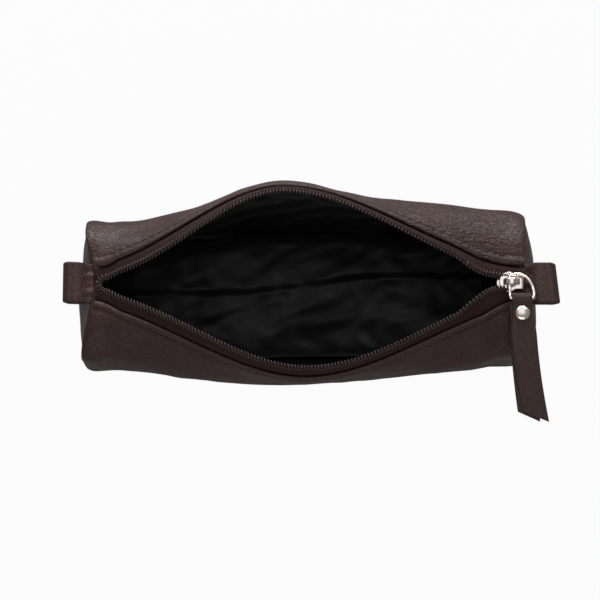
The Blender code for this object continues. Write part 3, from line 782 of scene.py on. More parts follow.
@dataclass(frozen=True)
class PouchForm:
    """The pouch's own shape: a shut profile at the ends of the mouth and an open one where it is widest."""

    base_flat: float = 26.0 * MM
    base_half: float = 34.0 * MM
    base_edge: float = 7.0 * MM
    shut_swell: float = 1.3 * MM
    shut_height: float = 68.0 * MM
    open_swell: float = 13.0 * MM
    open_height: float = 78.0 * MM
    lip_half: float = 7.9 * MM
    front_lip_out: float = 1.3 * MM
    lip_out_from: float = 0.7
    lip_out_span: float = 0.3
    lip_out_ease: float = 2.2
    front_mouth: tuple[float, float, float] = (-118.4 * MM, -1.2 * MM, 118.0 * MM)
    back_mouth: tuple[float, float, float] = (-106.0 * MM, -11.5 * MM, 109.0 * MM)
    front_pinch: tuple[float, float, float, float] = (-104.0 * MM, 20.0 * MM, 100.0 * MM, 21.0 * MM)
    back_pinch: tuple[float, float, float, float] = (-97.3 * MM, 11.4 * MM, 109.4 * MM, 44.8 * MM)
    seam_low: float = 101.5 * MM
    seam_middle: float = 104.0 * MM
    seam_top: float = 98.0 * MM
    seam_height: float = 35.0 * MM
    seams: tuple[tuple[float, ...], ...] = (
        (101.5, 104.6, 105.6, 105.4, 103.0, 98.0), (101.5, 103.5, 104.0, 103.8, 103.0, 98.0),
        (101.5, 105.2, 106.2, 106.0, 104.4, 100.0), (101.5, 102.2, 102.3, 101.8, 101.2, 100.0),
    )  # fmt: skip
    hinge_half: float = 33.2 * MM
    leather: float = 1.4 * MM
    hem: float = 2.0 * MM
    zip_tilt: float = math.radians(59.0)
    tilt_power_right: float = 0.65
    last_span: float = 0.2
    draw_from: float = 0.82
    draw_span: float = 0.16
    skew_left: float = -2.9 * MM
    skew_right: float = 1.8 * MM
    shut_wide_shares: tuple[float, ...] = (1.0, 1.0, 0.9, 0.485, 0.0)
    shut_high_shares: tuple[float, ...] = (0.246, 0.574, 0.836, 0.984, 1.0)
    open_wide_shares: tuple[float, ...] = (0.0, 0.615, 0.96, 1.0, 0.946, 0.808)
    open_high_shares: tuple[float, ...] = (0.0, 0.183, 0.437, 0.662, 0.845, 1.0)
    slump_reach: float = 105.0 * MM
    back_slump_low: float = 0.12
    front_slump_top: float = 0.95
    front_slump_span: float = 0.45
    slump_below_lip: float = 0.24
    front_slump: tuple[float, ...] = (
        -0.6, -2.3, -2.6, -1.4, -1.2, -1.1, -2.2, -2.3, -2.1, -2.1, -1.6, -0.5, -0.3, -0.8, -0.8
    )  # fmt: skip
    back_slump: tuple[float, ...] = (
        0.6, -2.5, -3.8, -3.0, -1.8, 0.4, 2.0, 1.5, -0.4, -1.2, -0.3, 0.8, 1.0, 0.7, 0.1
    )  # fmt: skip

    def shut(self) -> Array:
        """Half-widths and heights of the shut profile, from the base's edge to the lip."""
        reach = self.base_half + self.shut_swell - self.lip_half
        wide = np.array([self.base_half] + [self.lip_half + s * reach for s in self.shut_wide_shares])
        rise = self.shut_height - self.base_edge
        high = self.base_edge + np.array((0.0, *self.shut_high_shares)) * rise
        return np.stack([wide, high], axis=-1)

    def open(self) -> Array:
        """Half-widths and heights of the open profile, from the base's edge to the lip."""
        wide = self.base_half + np.array(self.open_wide_shares) * self.open_swell
        high = self.base_edge + np.array(self.open_high_shares) * (self.open_height - self.base_edge)
        return np.stack([wide, high], axis=-1)

    def lean(self) -> float:
        """The angle between the open wall and the shut one, where the mouth is widest."""
        out, up = self.open()[-1] - [self.hinge_half, self.base_edge]
        return math.atan2(out, up) + math.asin((self.hinge_half - self.lip_half) / math.hypot(out, up))

    def mouth(self, side: float) -> tuple[float, float, float]:
        """Where a wall starts to lean out, where it leans out furthest and where it ends, along the zip."""
        return self.back_mouth if side > 0 else self.front_mouth

    def widest(self, side: float) -> float:
        """Where along the zip a wall leans out furthest: the back one further left than the front one."""
        return self.mouth(side)[1]

    def opening(self, x: Array, side: float) -> Array:
        """How open the mouth is: 1 where that wall leans out furthest, less to both sides, pinched to 0 at its ends.

        Args:
            x: distance along the zip.
            side: the sign of Y.

        Returns:
            Shares from 0 to 1.
        """
        start, widest, end = self.mouth(side)
        left, left_length, right, right_length = self.back_pinch if side > 0 else self.front_pinch
        plain = smooth(np.minimum((x - start) / (widest - start), (end - x) / (end - widest)))
        return plain * smooth((x - left) / left_length) * smooth((right - x) / right_length)

    def turn(self, points: Array, angle: Array) -> Array:
        """Leans a wall's points outwards about the base's edge.

        Args:
            points: half-width and height pairs.
            angle: how far, in radians.

        Returns:
            The leant pairs.
        """
        pivot = np.array([self.hinge_half, self.base_edge])
        offset = points - pivot
        cosine, sine = np.cos(angle), np.sin(angle)
        out = offset[..., 0] * cosine + offset[..., 1] * sine
        up = offset[..., 1] * cosine - offset[..., 0] * sine
        return np.stack([out, up], axis=-1) + pivot

    def section(self, x: Array, place: Array, side: float) -> tuple[Array, Array, Array]:
        """The wall's outer surface: the shut profile eased into the open one, then leant out by its opening.

        Args:
            x: distance along the zip at each point.
            place: from 0 at the base's edge to 1 at the lip, of the same shape.
            side: the sign of Y.

        Returns:
            Half-width and height pairs, and the directions up the wall and out of it.
        """
        share = self.opening(x, side)[..., None, None]
        leant = self.turn(self.open(), np.array(-self.lean()))
        position, direction = through_points((1 - share) * self.shut() + share * leant, place)
        ahead = unit(direction)
        angle = self.lean() * share[..., 0, 0]
        position = self.turn(position, angle)
        cosine, sine = np.cos(angle), np.sin(angle)
        up = np.stack(
            [ahead[..., 0] * cosine + ahead[..., 1] * sine, ahead[..., 1] * cosine - ahead[..., 0] * sine], axis=-1
        )
        outward = np.stack([up[..., 1], -up[..., 0]], axis=-1)
        if side < 0:
            flared = self.front_lip_out * smooth(self.lip_out_ease * share[..., 0, 0])
            flared = flared * smooth((place - self.lip_out_from) / self.lip_out_span)
            position = position + outward * flared[..., None]
        return position, up, outward

    def seam_x(self, height: Array) -> Array:
        """Distance of the end seam from the middle: a quarter sine up to its widest, then a parabola.

        Args:
            height: above the floor.

        Returns:
            Distances along X, without their sign.
        """
        low = np.clip((height - self.base_edge) / (self.seam_height - self.base_edge), 0, 1)
        high = np.clip((height - self.seam_height) / (self.shut_height - self.seam_height), 0, 1)
        lower = self.seam_low + (self.seam_middle - self.seam_low) * np.sin(low * math.pi / 2)
        return lower + (self.seam_top - self.seam_middle) * high**2

    def seam_at(self, place: Array, end: float, side: float) -> Array:
        """The end seam's distance from the middle at each place up the wall: out to the corner, in at the zip."""
        return table_curve(self.seams[(2 if end > 0 else 0) + (1 if side > 0 else 0)], place)

    def lip_place(self, x: Array, distance: Array, side: float) -> Array:
        """The place up the wall that lies a distance below the lip, measured on the wall's last span."""
        top, _, _ = self.section(x, np.ones_like(x), side)
        below, _, _ = self.section(x, np.full_like(x, 1 - self.last_span), side)
        return 1 - self.last_span * distance / np.linalg.norm(top - below, axis=-1)

    def lip_distance(self, x: Array, place: Array, side: float) -> Array:
        """How far below the lip a place up the wall lies."""
        return (1 - place) / (1 - self.lip_place(x, np.full_like(x, MM), side)) * MM

    def near_lip(self, place: Array) -> Array:
        """Eases from 0 to 1 below the lip, where the end seams draw in to the zip."""
        return smooth((place - self.draw_from) / self.draw_span)

    def base_arc(self, depth: float, places: Array) -> Array:
        """Half-width and height round the base's edge, from the flat (0) to the wall (1): a quarter ellipse."""
        angle = places * math.pi / 2
        wide = self.base_flat + (self.base_half - self.base_flat - depth) * np.sin(angle)
        return np.stack([wide, self.base_edge - (self.base_edge - depth) * np.cos(angle)], axis=-1)

    def base_outline(self, depth: float, places: Array, points: int) -> Array:
        """Half-width and height across the base: down one rounded edge, over the flat and up the other edge.

        Args:
            depth: how far inside the base's face.
            places: places round each edge.
            points: points over the flat, with its two ends.

        Returns:
            The pairs.
        """
        half = self.base_arc(depth, places)
        flat = np.linspace(-self.base_flat, self.base_flat, points)[1:-1]
        middle = np.stack([flat, np.full_like(flat, depth)], axis=-1)
        return np.concatenate([half[::-1] * [-1, 1], middle, half])

    def end_outline(self, depth: float, low_places: Array, high_places: Array, inset: Array) -> tuple[Array, Array]:
        """The edge of an end panel: up the base's rounded edge, then up the inside of the shut wall.

        Args:
            depth: how far inside the base's face.
            low_places: places round the base's edge.
            high_places: places up the wall.
            inset: how far inside the wall's face, for each place up the wall.

        Returns:
            Half-width and height pairs, and how far up each is, from 0 to 1.
        """
        shut, direction = through_points(self.shut(), high_places)
        ahead = unit(direction)
        high = shut - np.stack([ahead[:, 1], -ahead[:, 0]], axis=-1) * inset[:, None]
        outline = np.concatenate([self.base_arc(depth, low_places), high])
        rise = (outline[:, 1] - outline[0, 1]) / (outline[-1, 1] - outline[0, 1])
        return outline, np.clip(rise, 0, 1)

    def skew(self, points: Array) -> Array:
        """Slumps the pouch sideways at mid height, one way at its left end and the other at its right.

        Args:
            points: world points.

        Returns:
            The moved points.
        """
        share = np.clip(points[..., 0] / self.seam_low, -1, 1)
        amount = np.where(share < 0, -share * self.skew_left, share * self.skew_right)
        rise = np.sin(np.clip(points[..., 2] / self.shut_height, 0, 1) * math.pi)
        moved = points.copy()
        moved[..., 1] += amount * rise
        return moved

    def world(self, x: Array, section: Array, side: float) -> Array:
        """World points from x, half-width and height pairs, and the sign of Y."""
        return self.skew(np.stack([x, side * section[..., 0], section[..., 1]], axis=-1))

    def slump(self, x: Array, side: float) -> Array:
        """How far a wall's belly stands out of its plain form at x, along its outward normal."""
        return table_curve(self.back_slump if side > 0 else self.front_slump, (x / self.slump_reach + 1) / 2)

    def belly(self, x: Array, place: Array, side: float) -> Array:
        """The slump at a place up the wall: none at the lip, and the back wall's none at the base's seam either.

        Args:
            x: distance along the zip.
            place: from 0 at the base to 1 at the lip.
            side: the sign of Y.

        Returns:
            Distances along the outward normal.
        """
        back, front = place / self.back_slump_low, (self.front_slump_top - place) / self.front_slump_span
        window = smooth(back if side > 0 else front)
        return self.slump(x, side) * window * smooth((1 - place) / self.slump_below_lip)

    def lip_line(self, x: Array, reach: Array, lift: Array, side: float) -> Array:
        """Half-width and height beside the lip: a reach in from the leather and a lift off the tape.

        The tape tilts up with the mouth's opening, sooner on the right, and it starts 1 mm under the leather's face.

        Args:
            x: distance along the zip.
            reach: how far in from the leather's edge.
            lift: how far above the tape's middle.
            side: the sign of Y.

        Returns:
            The pairs, of the arrays' shape.
        """
        position, _, outward = self.section(x, np.ones_like(x), side)
        tilt = self.zip_tilt * self.opening(x, side) ** np.where(x > 0, self.tilt_power_right, 1.0)
        inward = np.stack([-np.cos(tilt), np.sin(tilt)], axis=-1)
        above = np.stack([np.sin(tilt), np.cos(tilt)], axis=-1)
        return position - outward * self.hem / 2 + inward * reach[..., None] + above * lift[..., None]

    def bend(self, piece: Piece, wall: Wall, half: End) -> None:
        """Bakes a half wall's transform into its mesh; the half doesn't bend.

        Args:
            piece: the half's finished piece.
            wall: not used.
            half: not used.
        """
        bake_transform(piece)

    def half_columns(self, wall: Wall, half: End, edge: Array, columns: int, ease: float = 1.0) -> Array:
        """The x of a half wall's columns, from each row's edge to the mouth's middle, crowded at the edge by ease."""
        start = (half.sign * edge)[:, None]
        return start + (self.widest(wall.side) - start) * np.linspace(0, 1, columns)[None] ** ease


@dataclass
class Casing:
    """The leather: two walls with rolled and stitched lips, the base and the bulging end panels."""

    form: PouchForm
    leather: Material
    thread: Material
    columns: int = 110
    crowding: float = 1.15
    lower_rows: int = 28
    upper_rows: int = 26
    upper_from: float = 0.74
    roll_steps: int = 7
    ripple: float = 0.55 * MM
    ripple_long: float = 46 * MM
    ripple_short: float = 19 * MM
    ripple_fade: float = 16 * MM
    stitch_from_lip: float = 3.9 * MM
    stitch_pitch: float = 3.5 * MM
    stitch_length: float = 2.9 * MM
    stitch_sag: float = 0.25 * MM
    stitch_lift: float = 0.12 * MM
    stitch_dent: float = 0.4 * MM
    dent_reach: float = 0.7 * MM
    thread_radius: float = 0.24 * MM
    hem_puff: float = 0.6 * MM
    hem_depth: float = 12 * MM
    hem_fade: float = 3 * MM
    seam_round: float = 7.0 * MM
    seam_sink: float = 2.4 * MM
    base_sink: float = 0.9 * MM
    base_sink_span: float = 0.05
    base_columns: int = 90
    corner_inset: float = 1.0 * MM
    bulge: float = 4.8 * MM
    bulge_power: float = 0.8
    end_columns: int = 41
    end_ripple: float = 0.5 * MM
    end_ripple_length: float = 31 * MM
    end_ripple_fade: float = 8 * MM
    end_round: float = 1.1 * MM

    def relief(self, x: Array, place: Array, height: Array, side: float) -> Array:
        """How far the leather stands out of its plain form.

        Slow ripples die out towards the lip. The hem puffs out between its fold and its stitches, which pull the
        leather in, most under each stitch. It sinks into the end seams and into the base's seam.

        Args:
            x: distance along the zip.
            place: from 0 at the base to 1 at the lip.
            height: of the point above the floor.
            side: the sign of Y.

        Returns:
            Distances along the outward normal.
        """
        form = self.form
        from_lip = form.lip_distance(x, place, side)
        seed = 1.3 + side
        long, short = ripples(x, height, self.ripple_long, seed), ripples(x, height, self.ripple_short, 2 * seed)
        out = self.ripple * (0.65 * long + 0.35 * short) * smooth(from_lip / self.ripple_fade)
        out += form.belly(x, place, side)
        out += self.hem_puff * np.sin(math.pi * np.clip(from_lip / self.stitch_from_lip, 0, 1))
        pull = 0.6 + 0.4 * np.cos(2 * math.pi * x / self.stitch_pitch)
        out -= self.stitch_dent * pull * np.exp(-(((from_lip - self.stitch_from_lip) / self.dent_reach) ** 2))
        seam = np.where(x < 0, form.seam_at(place, -1.0, side), form.seam_at(place, 1.0, side))
        beyond = np.clip((np.abs(x) - (seam - self.seam_round)) / self.seam_round, 0, 1)
        out -= self.seam_sink * rounded_edge(beyond) * (1 - 0.75 * form.near_lip(place))
        return out - self.base_sink * np.clip(1 - place / self.base_sink_span, 0, 1) ** 2

    def wall(self, wall: Wall, half: End) -> None:
        """One half of a wall: up the outside, round the rolled lip and down the inside.

        Args:
            wall: front or back.
            half: left or right.
        """
        form, side = self.form, wall.side
        lower = np.linspace(0, self.upper_from, self.lower_rows, endpoint=False)
        places = np.concatenate([lower, np.linspace(self.upper_from, 1.0, self.upper_rows)])
        x = form.half_columns(wall, half, form.seam_at(places, half.sign, side), self.columns, self.crowding)
        short = 1 - form.lip_place(x, np.full_like(x, form.hem / 2), side)
        place = places[:, None] * (1 - short)
        flat, up, outward = form.section(x, place, side)
        relief = self.relief(x, place, flat[..., 1], side)
        outer = flat + outward * relief[..., None]
        hem = smooth((self.hem_depth - form.lip_distance(x, place, side)) / self.hem_fade)
        thick = form.leather + (form.hem - form.leather) * hem
        inner = flat + outward * (np.minimum(relief, 0) - thick)[..., None]
        angles = np.linspace(0, math.pi, self.roll_steps + 2)[1:-1, None, None]
        middle, offset = (outer[-1] + inner[-1]) / 2, (outer[-1] - inner[-1]) / 2
        reach = np.linalg.norm(offset, axis=-1, keepdims=True)
        roll = middle + offset * np.cos(angles) + up[-1] * reach * np.sin(angles)
        roll = form.world(np.broadcast_to(x[-1], roll.shape[:-1]), roll, side)
        shape = folded_sheet(form.world(x, outer, side), form.world(x, inner, side), roll)
        name = f"{wall.title}_leather_{half.title}"
        piece = make_piece(name, shape, self.leather, crease=60)
        form.bend(piece, wall, half)
        if half is End.LEFT:
            strips = ("left_end", "left_outer", "left_inner", "centre", "right_inner", "right_outer", "right_end")
            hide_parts(*(f"{wall.title}_wall_{strip}" for strip in strips), f"{wall.title}_hem")

    def stitches(self, wall: Wall, half: End) -> None:
        """The topstitch of one half of a lip: a row of short threads, each laid along the hem.

        Args:
            wall: front or back.
            half: left or right.
        """
        form, side, pitch = self.form, wall.side, self.stitch_pitch
        low, high = sorted((form.widest(side), (form.seam_top - self.seam_round) * half.sign))
        x = (np.arange(math.ceil(low / pitch), math.floor(high / pitch)) + 0.5) * pitch
        from_lip = np.full_like(x, self.stitch_from_lip)
        place = form.lip_place(x, from_lip, side)
        flat, _, outward = form.section(x, place, side)
        lift = self.relief(x, place, flat[:, 1], side) + 0.5 * self.thread_radius + self.stitch_lift
        raised = outward * lift[:, None]
        centres = form.world(x, flat + raised, side)
        ahead_flat, _, _ = form.section(x + STEP, form.lip_place(x + STEP, from_lip, side), side)
        ahead = unit(form.world(x + STEP, ahead_flat + raised, side) - centres)
        up = unit(np.stack([np.zeros_like(x), side * outward[:, 0], outward[:, 1]], axis=-1))
        up = unit(up - ahead * np.sum(up * ahead, axis=-1, keepdims=True))
        frames = np.stack([ahead, np.cross(up, ahead), up], axis=1)
        stitch = capsule(self.stitch_length, self.thread_radius, self.stitch_sag)
        shape = repeated(stitch, centres, frames)
        name = f"{wall.title}_topstitch_{half.title}"
        piece = make_piece(name, shape, self.thread, crease=80)
        form.bend(piece, wall, half)

    def base(self) -> None:
        """The base: flat underneath, with its long edges rounded up to the walls' seam."""
        form, grids = self.form, []
        for depth in (0.0, form.leather):
            outline = form.base_outline(depth, np.linspace(0, 0.97, 10), 16)
            wide, high = outline[:, 0], outline[:, 1]
            edge = form.seam_x(high)[:, None]
            x = edge * np.linspace(-1, 1, self.base_columns)[None]
            sink = self.base_sink * np.clip((high - 0.7 * form.base_edge) / (0.3 * form.base_edge), 0, 1) ** 2
            near = np.clip((np.abs(x) - edge + self.seam_round) / self.seam_round, 0, 1)
            y = (np.sign(wide) * (np.abs(wide) - sink))[:, None]
            outer_share = np.clip((np.abs(y) - form.base_flat) / (form.base_half - form.base_flat), 0, 1)
            y = y - np.where(y < 0, form.slump(x, -1.0), 0.0) * outer_share
            grids.append(form.skew(np.stack([x, y, high[:, None] + self.seam_sink * rounded_edge(near)], axis=-1)))
        shape = folded_sheet(*grids)
        piece = make_piece("base_leather", shape, self.leather, crease=60)
        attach(piece, "root")
        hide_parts("base_panel")

    def end_panel(self, end: End) -> None:
        """An end panel: its edge follows the walls' inside, and its middle swells out like a cushion.

        Args:
            end: left or right.
        """
        form = self.form
        low_places, places = np.linspace(0, 0.95, 8), np.linspace(0.03, 1.0, 34)
        inset = form.leather + self.corner_inset * (1 - form.near_lip(places))
        outline, rise = form.end_outline(form.leather, low_places, places, inset)
        across = np.sin(np.linspace(-1, 1, self.end_columns) * math.pi / 2)
        swell = np.sin(rise * math.pi)[:, None] ** self.bulge_power * (1 - across**2)[None]
        from_edge = np.minimum((1 - np.abs(across))[None] * outline[:, :1], rise[:, None] * form.shut_height)
        y = outline[:, :1] * across[None]
        z = np.broadcast_to(outline[:, 1:], y.shape)
        fade = np.clip(from_edge / self.end_ripple_fade, 0, 1)
        waves = self.end_ripple * ripples(y, z, self.end_ripple_length, 4.0 + end.sign) * fade
        middle = form.seam_x(outline[:, 1])[:, None]
        up_wall = np.concatenate([np.zeros(len(low_places)), places])
        front, back = (form.seam_at(up_wall, end.sign, side)[:, None] for side in (-1.0, 1.0))
        edge = np.where(across[None] < 0, front, back)
        out = middle + (edge - middle) * across[None] ** 2 + self.bulge * swell + waves
        out = out - self.end_round * rounded_edge(np.clip(1 - from_edge / self.seam_round, 0, 1))
        grids = [form.skew(np.stack([end.sign * (out - depth), y, z], axis=-1)) for depth in (0.0, form.leather)]
        shape = folded_sheet(*grids)
        piece = make_piece(f"{end.title}_end_leather", shape, self.leather, crease=70)
        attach(piece, "root")
        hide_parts(f"{end.title}_end_panel")

    def build(self) -> None:
        """Makes every leather piece of the casing and its topstitch."""
        self.base()
        for end in End:
            self.end_panel(end)
        for wall in Wall:
            for half in End:
                self.wall(wall, half)
                self.stitches(wall, half)


@dataclass
class Lining:
    """The black lining: a panel on each wall, one on the base and one on each end, all with soft folds."""

    form: PouchForm
    cloth: Material
    thickness: float = 0.4 * MM
    off_wall: float = 2.5 * MM
    wall_inset: float = 3.4 * MM
    wall_rows: int = 44
    columns: int = 80
    fold: float = 1.5 * MM
    fold_length: float = 34 * MM
    fine_share: float = 0.35
    fine_length: float = 11 * MM
    base_lift: float = 2.4 * MM
    base_inset: float = 3.2 * MM
    base_columns: int = 190
    slack: float = 3.0 * MM
    drawn_in: float = 0.5 * MM
    drawn_from: float = 16 * MM
    drawn_over: float = 12 * MM
    edge_fade: float = 8 * MM
    bowl: float = 4.5 * MM
    bowl_reach: float = 30 * MM
    corner: float = 18.0 * MM
    crease_back: float = 6.0 * MM
    crease_drift: float = 5.0 * MM
    crease_height: float = 2.3 * MM
    tuck_before: float = 13 * MM
    tuck_behind: float = 5.0 * MM
    end_inset: float = 3.0 * MM
    end_gap: float = 2.1 * MM
    end_swell: float = 2.6 * MM
    end_fold: float = 0.9 * MM
    end_fold_length: float = 24 * MM
    base_folds: tuple[tuple[float, float, float, float, float, float], ...] = (
        (14, -9, 6, 34, 5.5, -3.2), (-8, -22, 78, 12, 6, 2.2), (16, -24, 60, 14, 5, -1.6), (-48, -6, 14, 22, 6, 2.0),
        (-42, -17, -24, 18, 5, -1.8), (58, -8, -12, 22, 6, 1.8), (-20, 18, 24, 24, 6, 1.6), (36, 20, -18, 22, 5, 1.8),
        (-64, 8, 35, 16, 5, 1.6), (70, 4, 30, 14, 5, -1.5),
    )  # fmt: skip

    def wall(self, wall: Wall, half: End) -> None:
        """The lining of half a wall, from the base up to the underside of the zip's tape.

        Args:
            wall: front or back.
            half: left or right.
        """
        form, side = self.form, wall.side
        places = np.linspace(0.0, 0.985, self.wall_rows)
        x = form.half_columns(wall, half, form.seam_at(places, half.sign, side) - self.wall_inset, self.columns)
        place = np.broadcast_to(places[:, None], x.shape)
        flat, _, outward = form.section(x, place, side)
        ease = np.sin(place * math.pi) ** 0.6
        folds = 0.5 + 0.5 * ripples(x, flat[..., 1] * 1.6, self.fold_length, 5.0 + side)
        fine = 0.5 + 0.5 * ripples(x * 1.4, flat[..., 1], self.fine_length, 7.0 + side)
        depth = self.off_wall + ease * (self.fold * folds + self.fine_share * self.fold * fine)
        depth = depth - np.minimum(form.belly(x, place, side), 0)
        grids = [form.world(x, flat - outward * (depth + d)[..., None], side) for d in (0.0, self.thickness)]
        shape = folded_sheet(*grids)
        name = f"{wall.title}_lining_{half.title}"
        piece = make_piece(name, shape, self.cloth, crease=60)
        form.bend(piece, wall, half)
        if half is End.LEFT:
            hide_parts(f"{wall.title}_lining")

    def loose_folds(self, x: Array, y: Array) -> Array:
        """Height of the loose folds on the base: a long bell across and along the line of each fold.

        Args:
            x: distance along the zip.
            y: distance from the middle.

        Returns:
            Heights.
        """
        height = np.zeros_like(x)
        for middle_x, middle_y, turn, length, width, rise in self.base_folds:
            angle = math.radians(turn)
            dx, dy = x - middle_x * MM, y - middle_y * MM
            along = dx * math.cos(angle) + dy * math.sin(angle)
            across = dy * math.cos(angle) - dx * math.sin(angle)
            across = across + 3 * MM * (along / (length * MM)) ** 2
            height += rise * MM * np.exp(-((along / (length * MM)) ** 2) - (across / (width * MM)) ** 2)
        return height

    def base(self) -> None:
        """The lining of the base: it hangs loose like a hammock, with one long tuck and smaller folds."""
        form = self.form
        outline = form.base_outline(self.base_lift, np.linspace(0, 0.86, 8), 90)
        share = np.linspace(-1, 1, self.base_columns)
        x = (form.seam_x(outline[:, 1]) - self.base_inset)[:, None] * share[None]
        y = np.broadcast_to(outline[:, :1], x.shape)
        drawn = np.minimum(np.where(y > 0, form.slump(x, 1.0), form.slump(x, -1.0)), 0) - self.drawn_in
        y = y + np.sign(y) * drawn * smooth((np.abs(y) - self.drawn_from) / self.drawn_over)
        to_wall = np.clip((form.base_half - np.abs(y)) / self.edge_fade, 0, 1)
        edge = np.clip((1 - np.abs(share)) * 8, 0, 1)[None] * to_wall
        waves = 0.8 * MM * ripples(x, 1.4 * y, 38 * MM, 9.0) + 0.3 * MM * ripples(x, y, 13 * MM, 11.0)
        crease = self.crease_back + self.crease_drift * np.sin(x / (60 * MM)) + 1.2 * MM * np.sin(x / (17 * MM))
        bowl = self.bowl * (np.abs(y - crease) / self.bowl_reach) ** 1.3
        before = np.clip((crease - y) / self.tuck_before, 0, 1)
        behind = np.clip((y - crease) / self.tuck_behind, 0, 1)
        tuck = self.crease_height * np.where(y < crease, (1 - before) ** 1.5, (1 - smooth(behind)))
        beyond = np.clip(np.abs(y) - (form.base_half - self.corner), 0, 0.97 * self.corner)
        corner = self.corner - np.sqrt(self.corner**2 - beyond**2)
        z = outline[:, 1:] + bowl + (waves + tuck + self.loose_folds(x, y) + self.slack) * edge + 0.75 * corner
        grids = [form.skew(np.stack([x, y, z + lift], axis=-1)) for lift in (0.0, self.thickness)]
        shape = folded_sheet(*grids)
        piece = make_piece("base_lining_cloth", shape, self.cloth, crease=60)
        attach(piece, "root")
        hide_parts("base_lining")

    def end(self, end: End) -> None:
        """The lining of an end, which lies just inside the end panel.

        Args:
            end: left or right.
        """
        form = self.form
        places = np.linspace(0.03, 0.98, 30)
        inset = np.full(len(places), self.end_inset + self.thickness)
        outline, rise = form.end_outline(self.end_inset, np.linspace(0, 0.9, 7), places, inset)
        across = np.linspace(-1, 1, 31)
        swell = np.sin(rise * math.pi)[:, None] * (1 - across**2)[None]
        y = outline[:, :1] * across[None]
        z = np.broadcast_to(outline[:, 1:], y.shape)
        folds = 0.5 + 0.5 * ripples(y, z, self.end_fold_length, 6.0 + end.sign)
        waves = self.end_fold * folds * (1 - across**2)[None]
        out = form.seam_x(outline[:, 1])[:, None] - self.end_gap + self.end_swell * swell - waves
        grids = [form.skew(np.stack([end.sign * (out - d), y, z], axis=-1)) for d in (0.0, self.thickness)]
        shape = folded_sheet(*grids)
        piece = make_piece(f"{end.title}_end_lining_cloth", shape, self.cloth, crease=60)
        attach(piece, "root")
        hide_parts(f"{end.title}_end_lining")

    def build(self) -> None:
        """Makes every lining piece."""
        self.base()
        for end in End:
            self.end(end)
        for wall in Wall:
            for half in End:
                self.wall(wall, half)


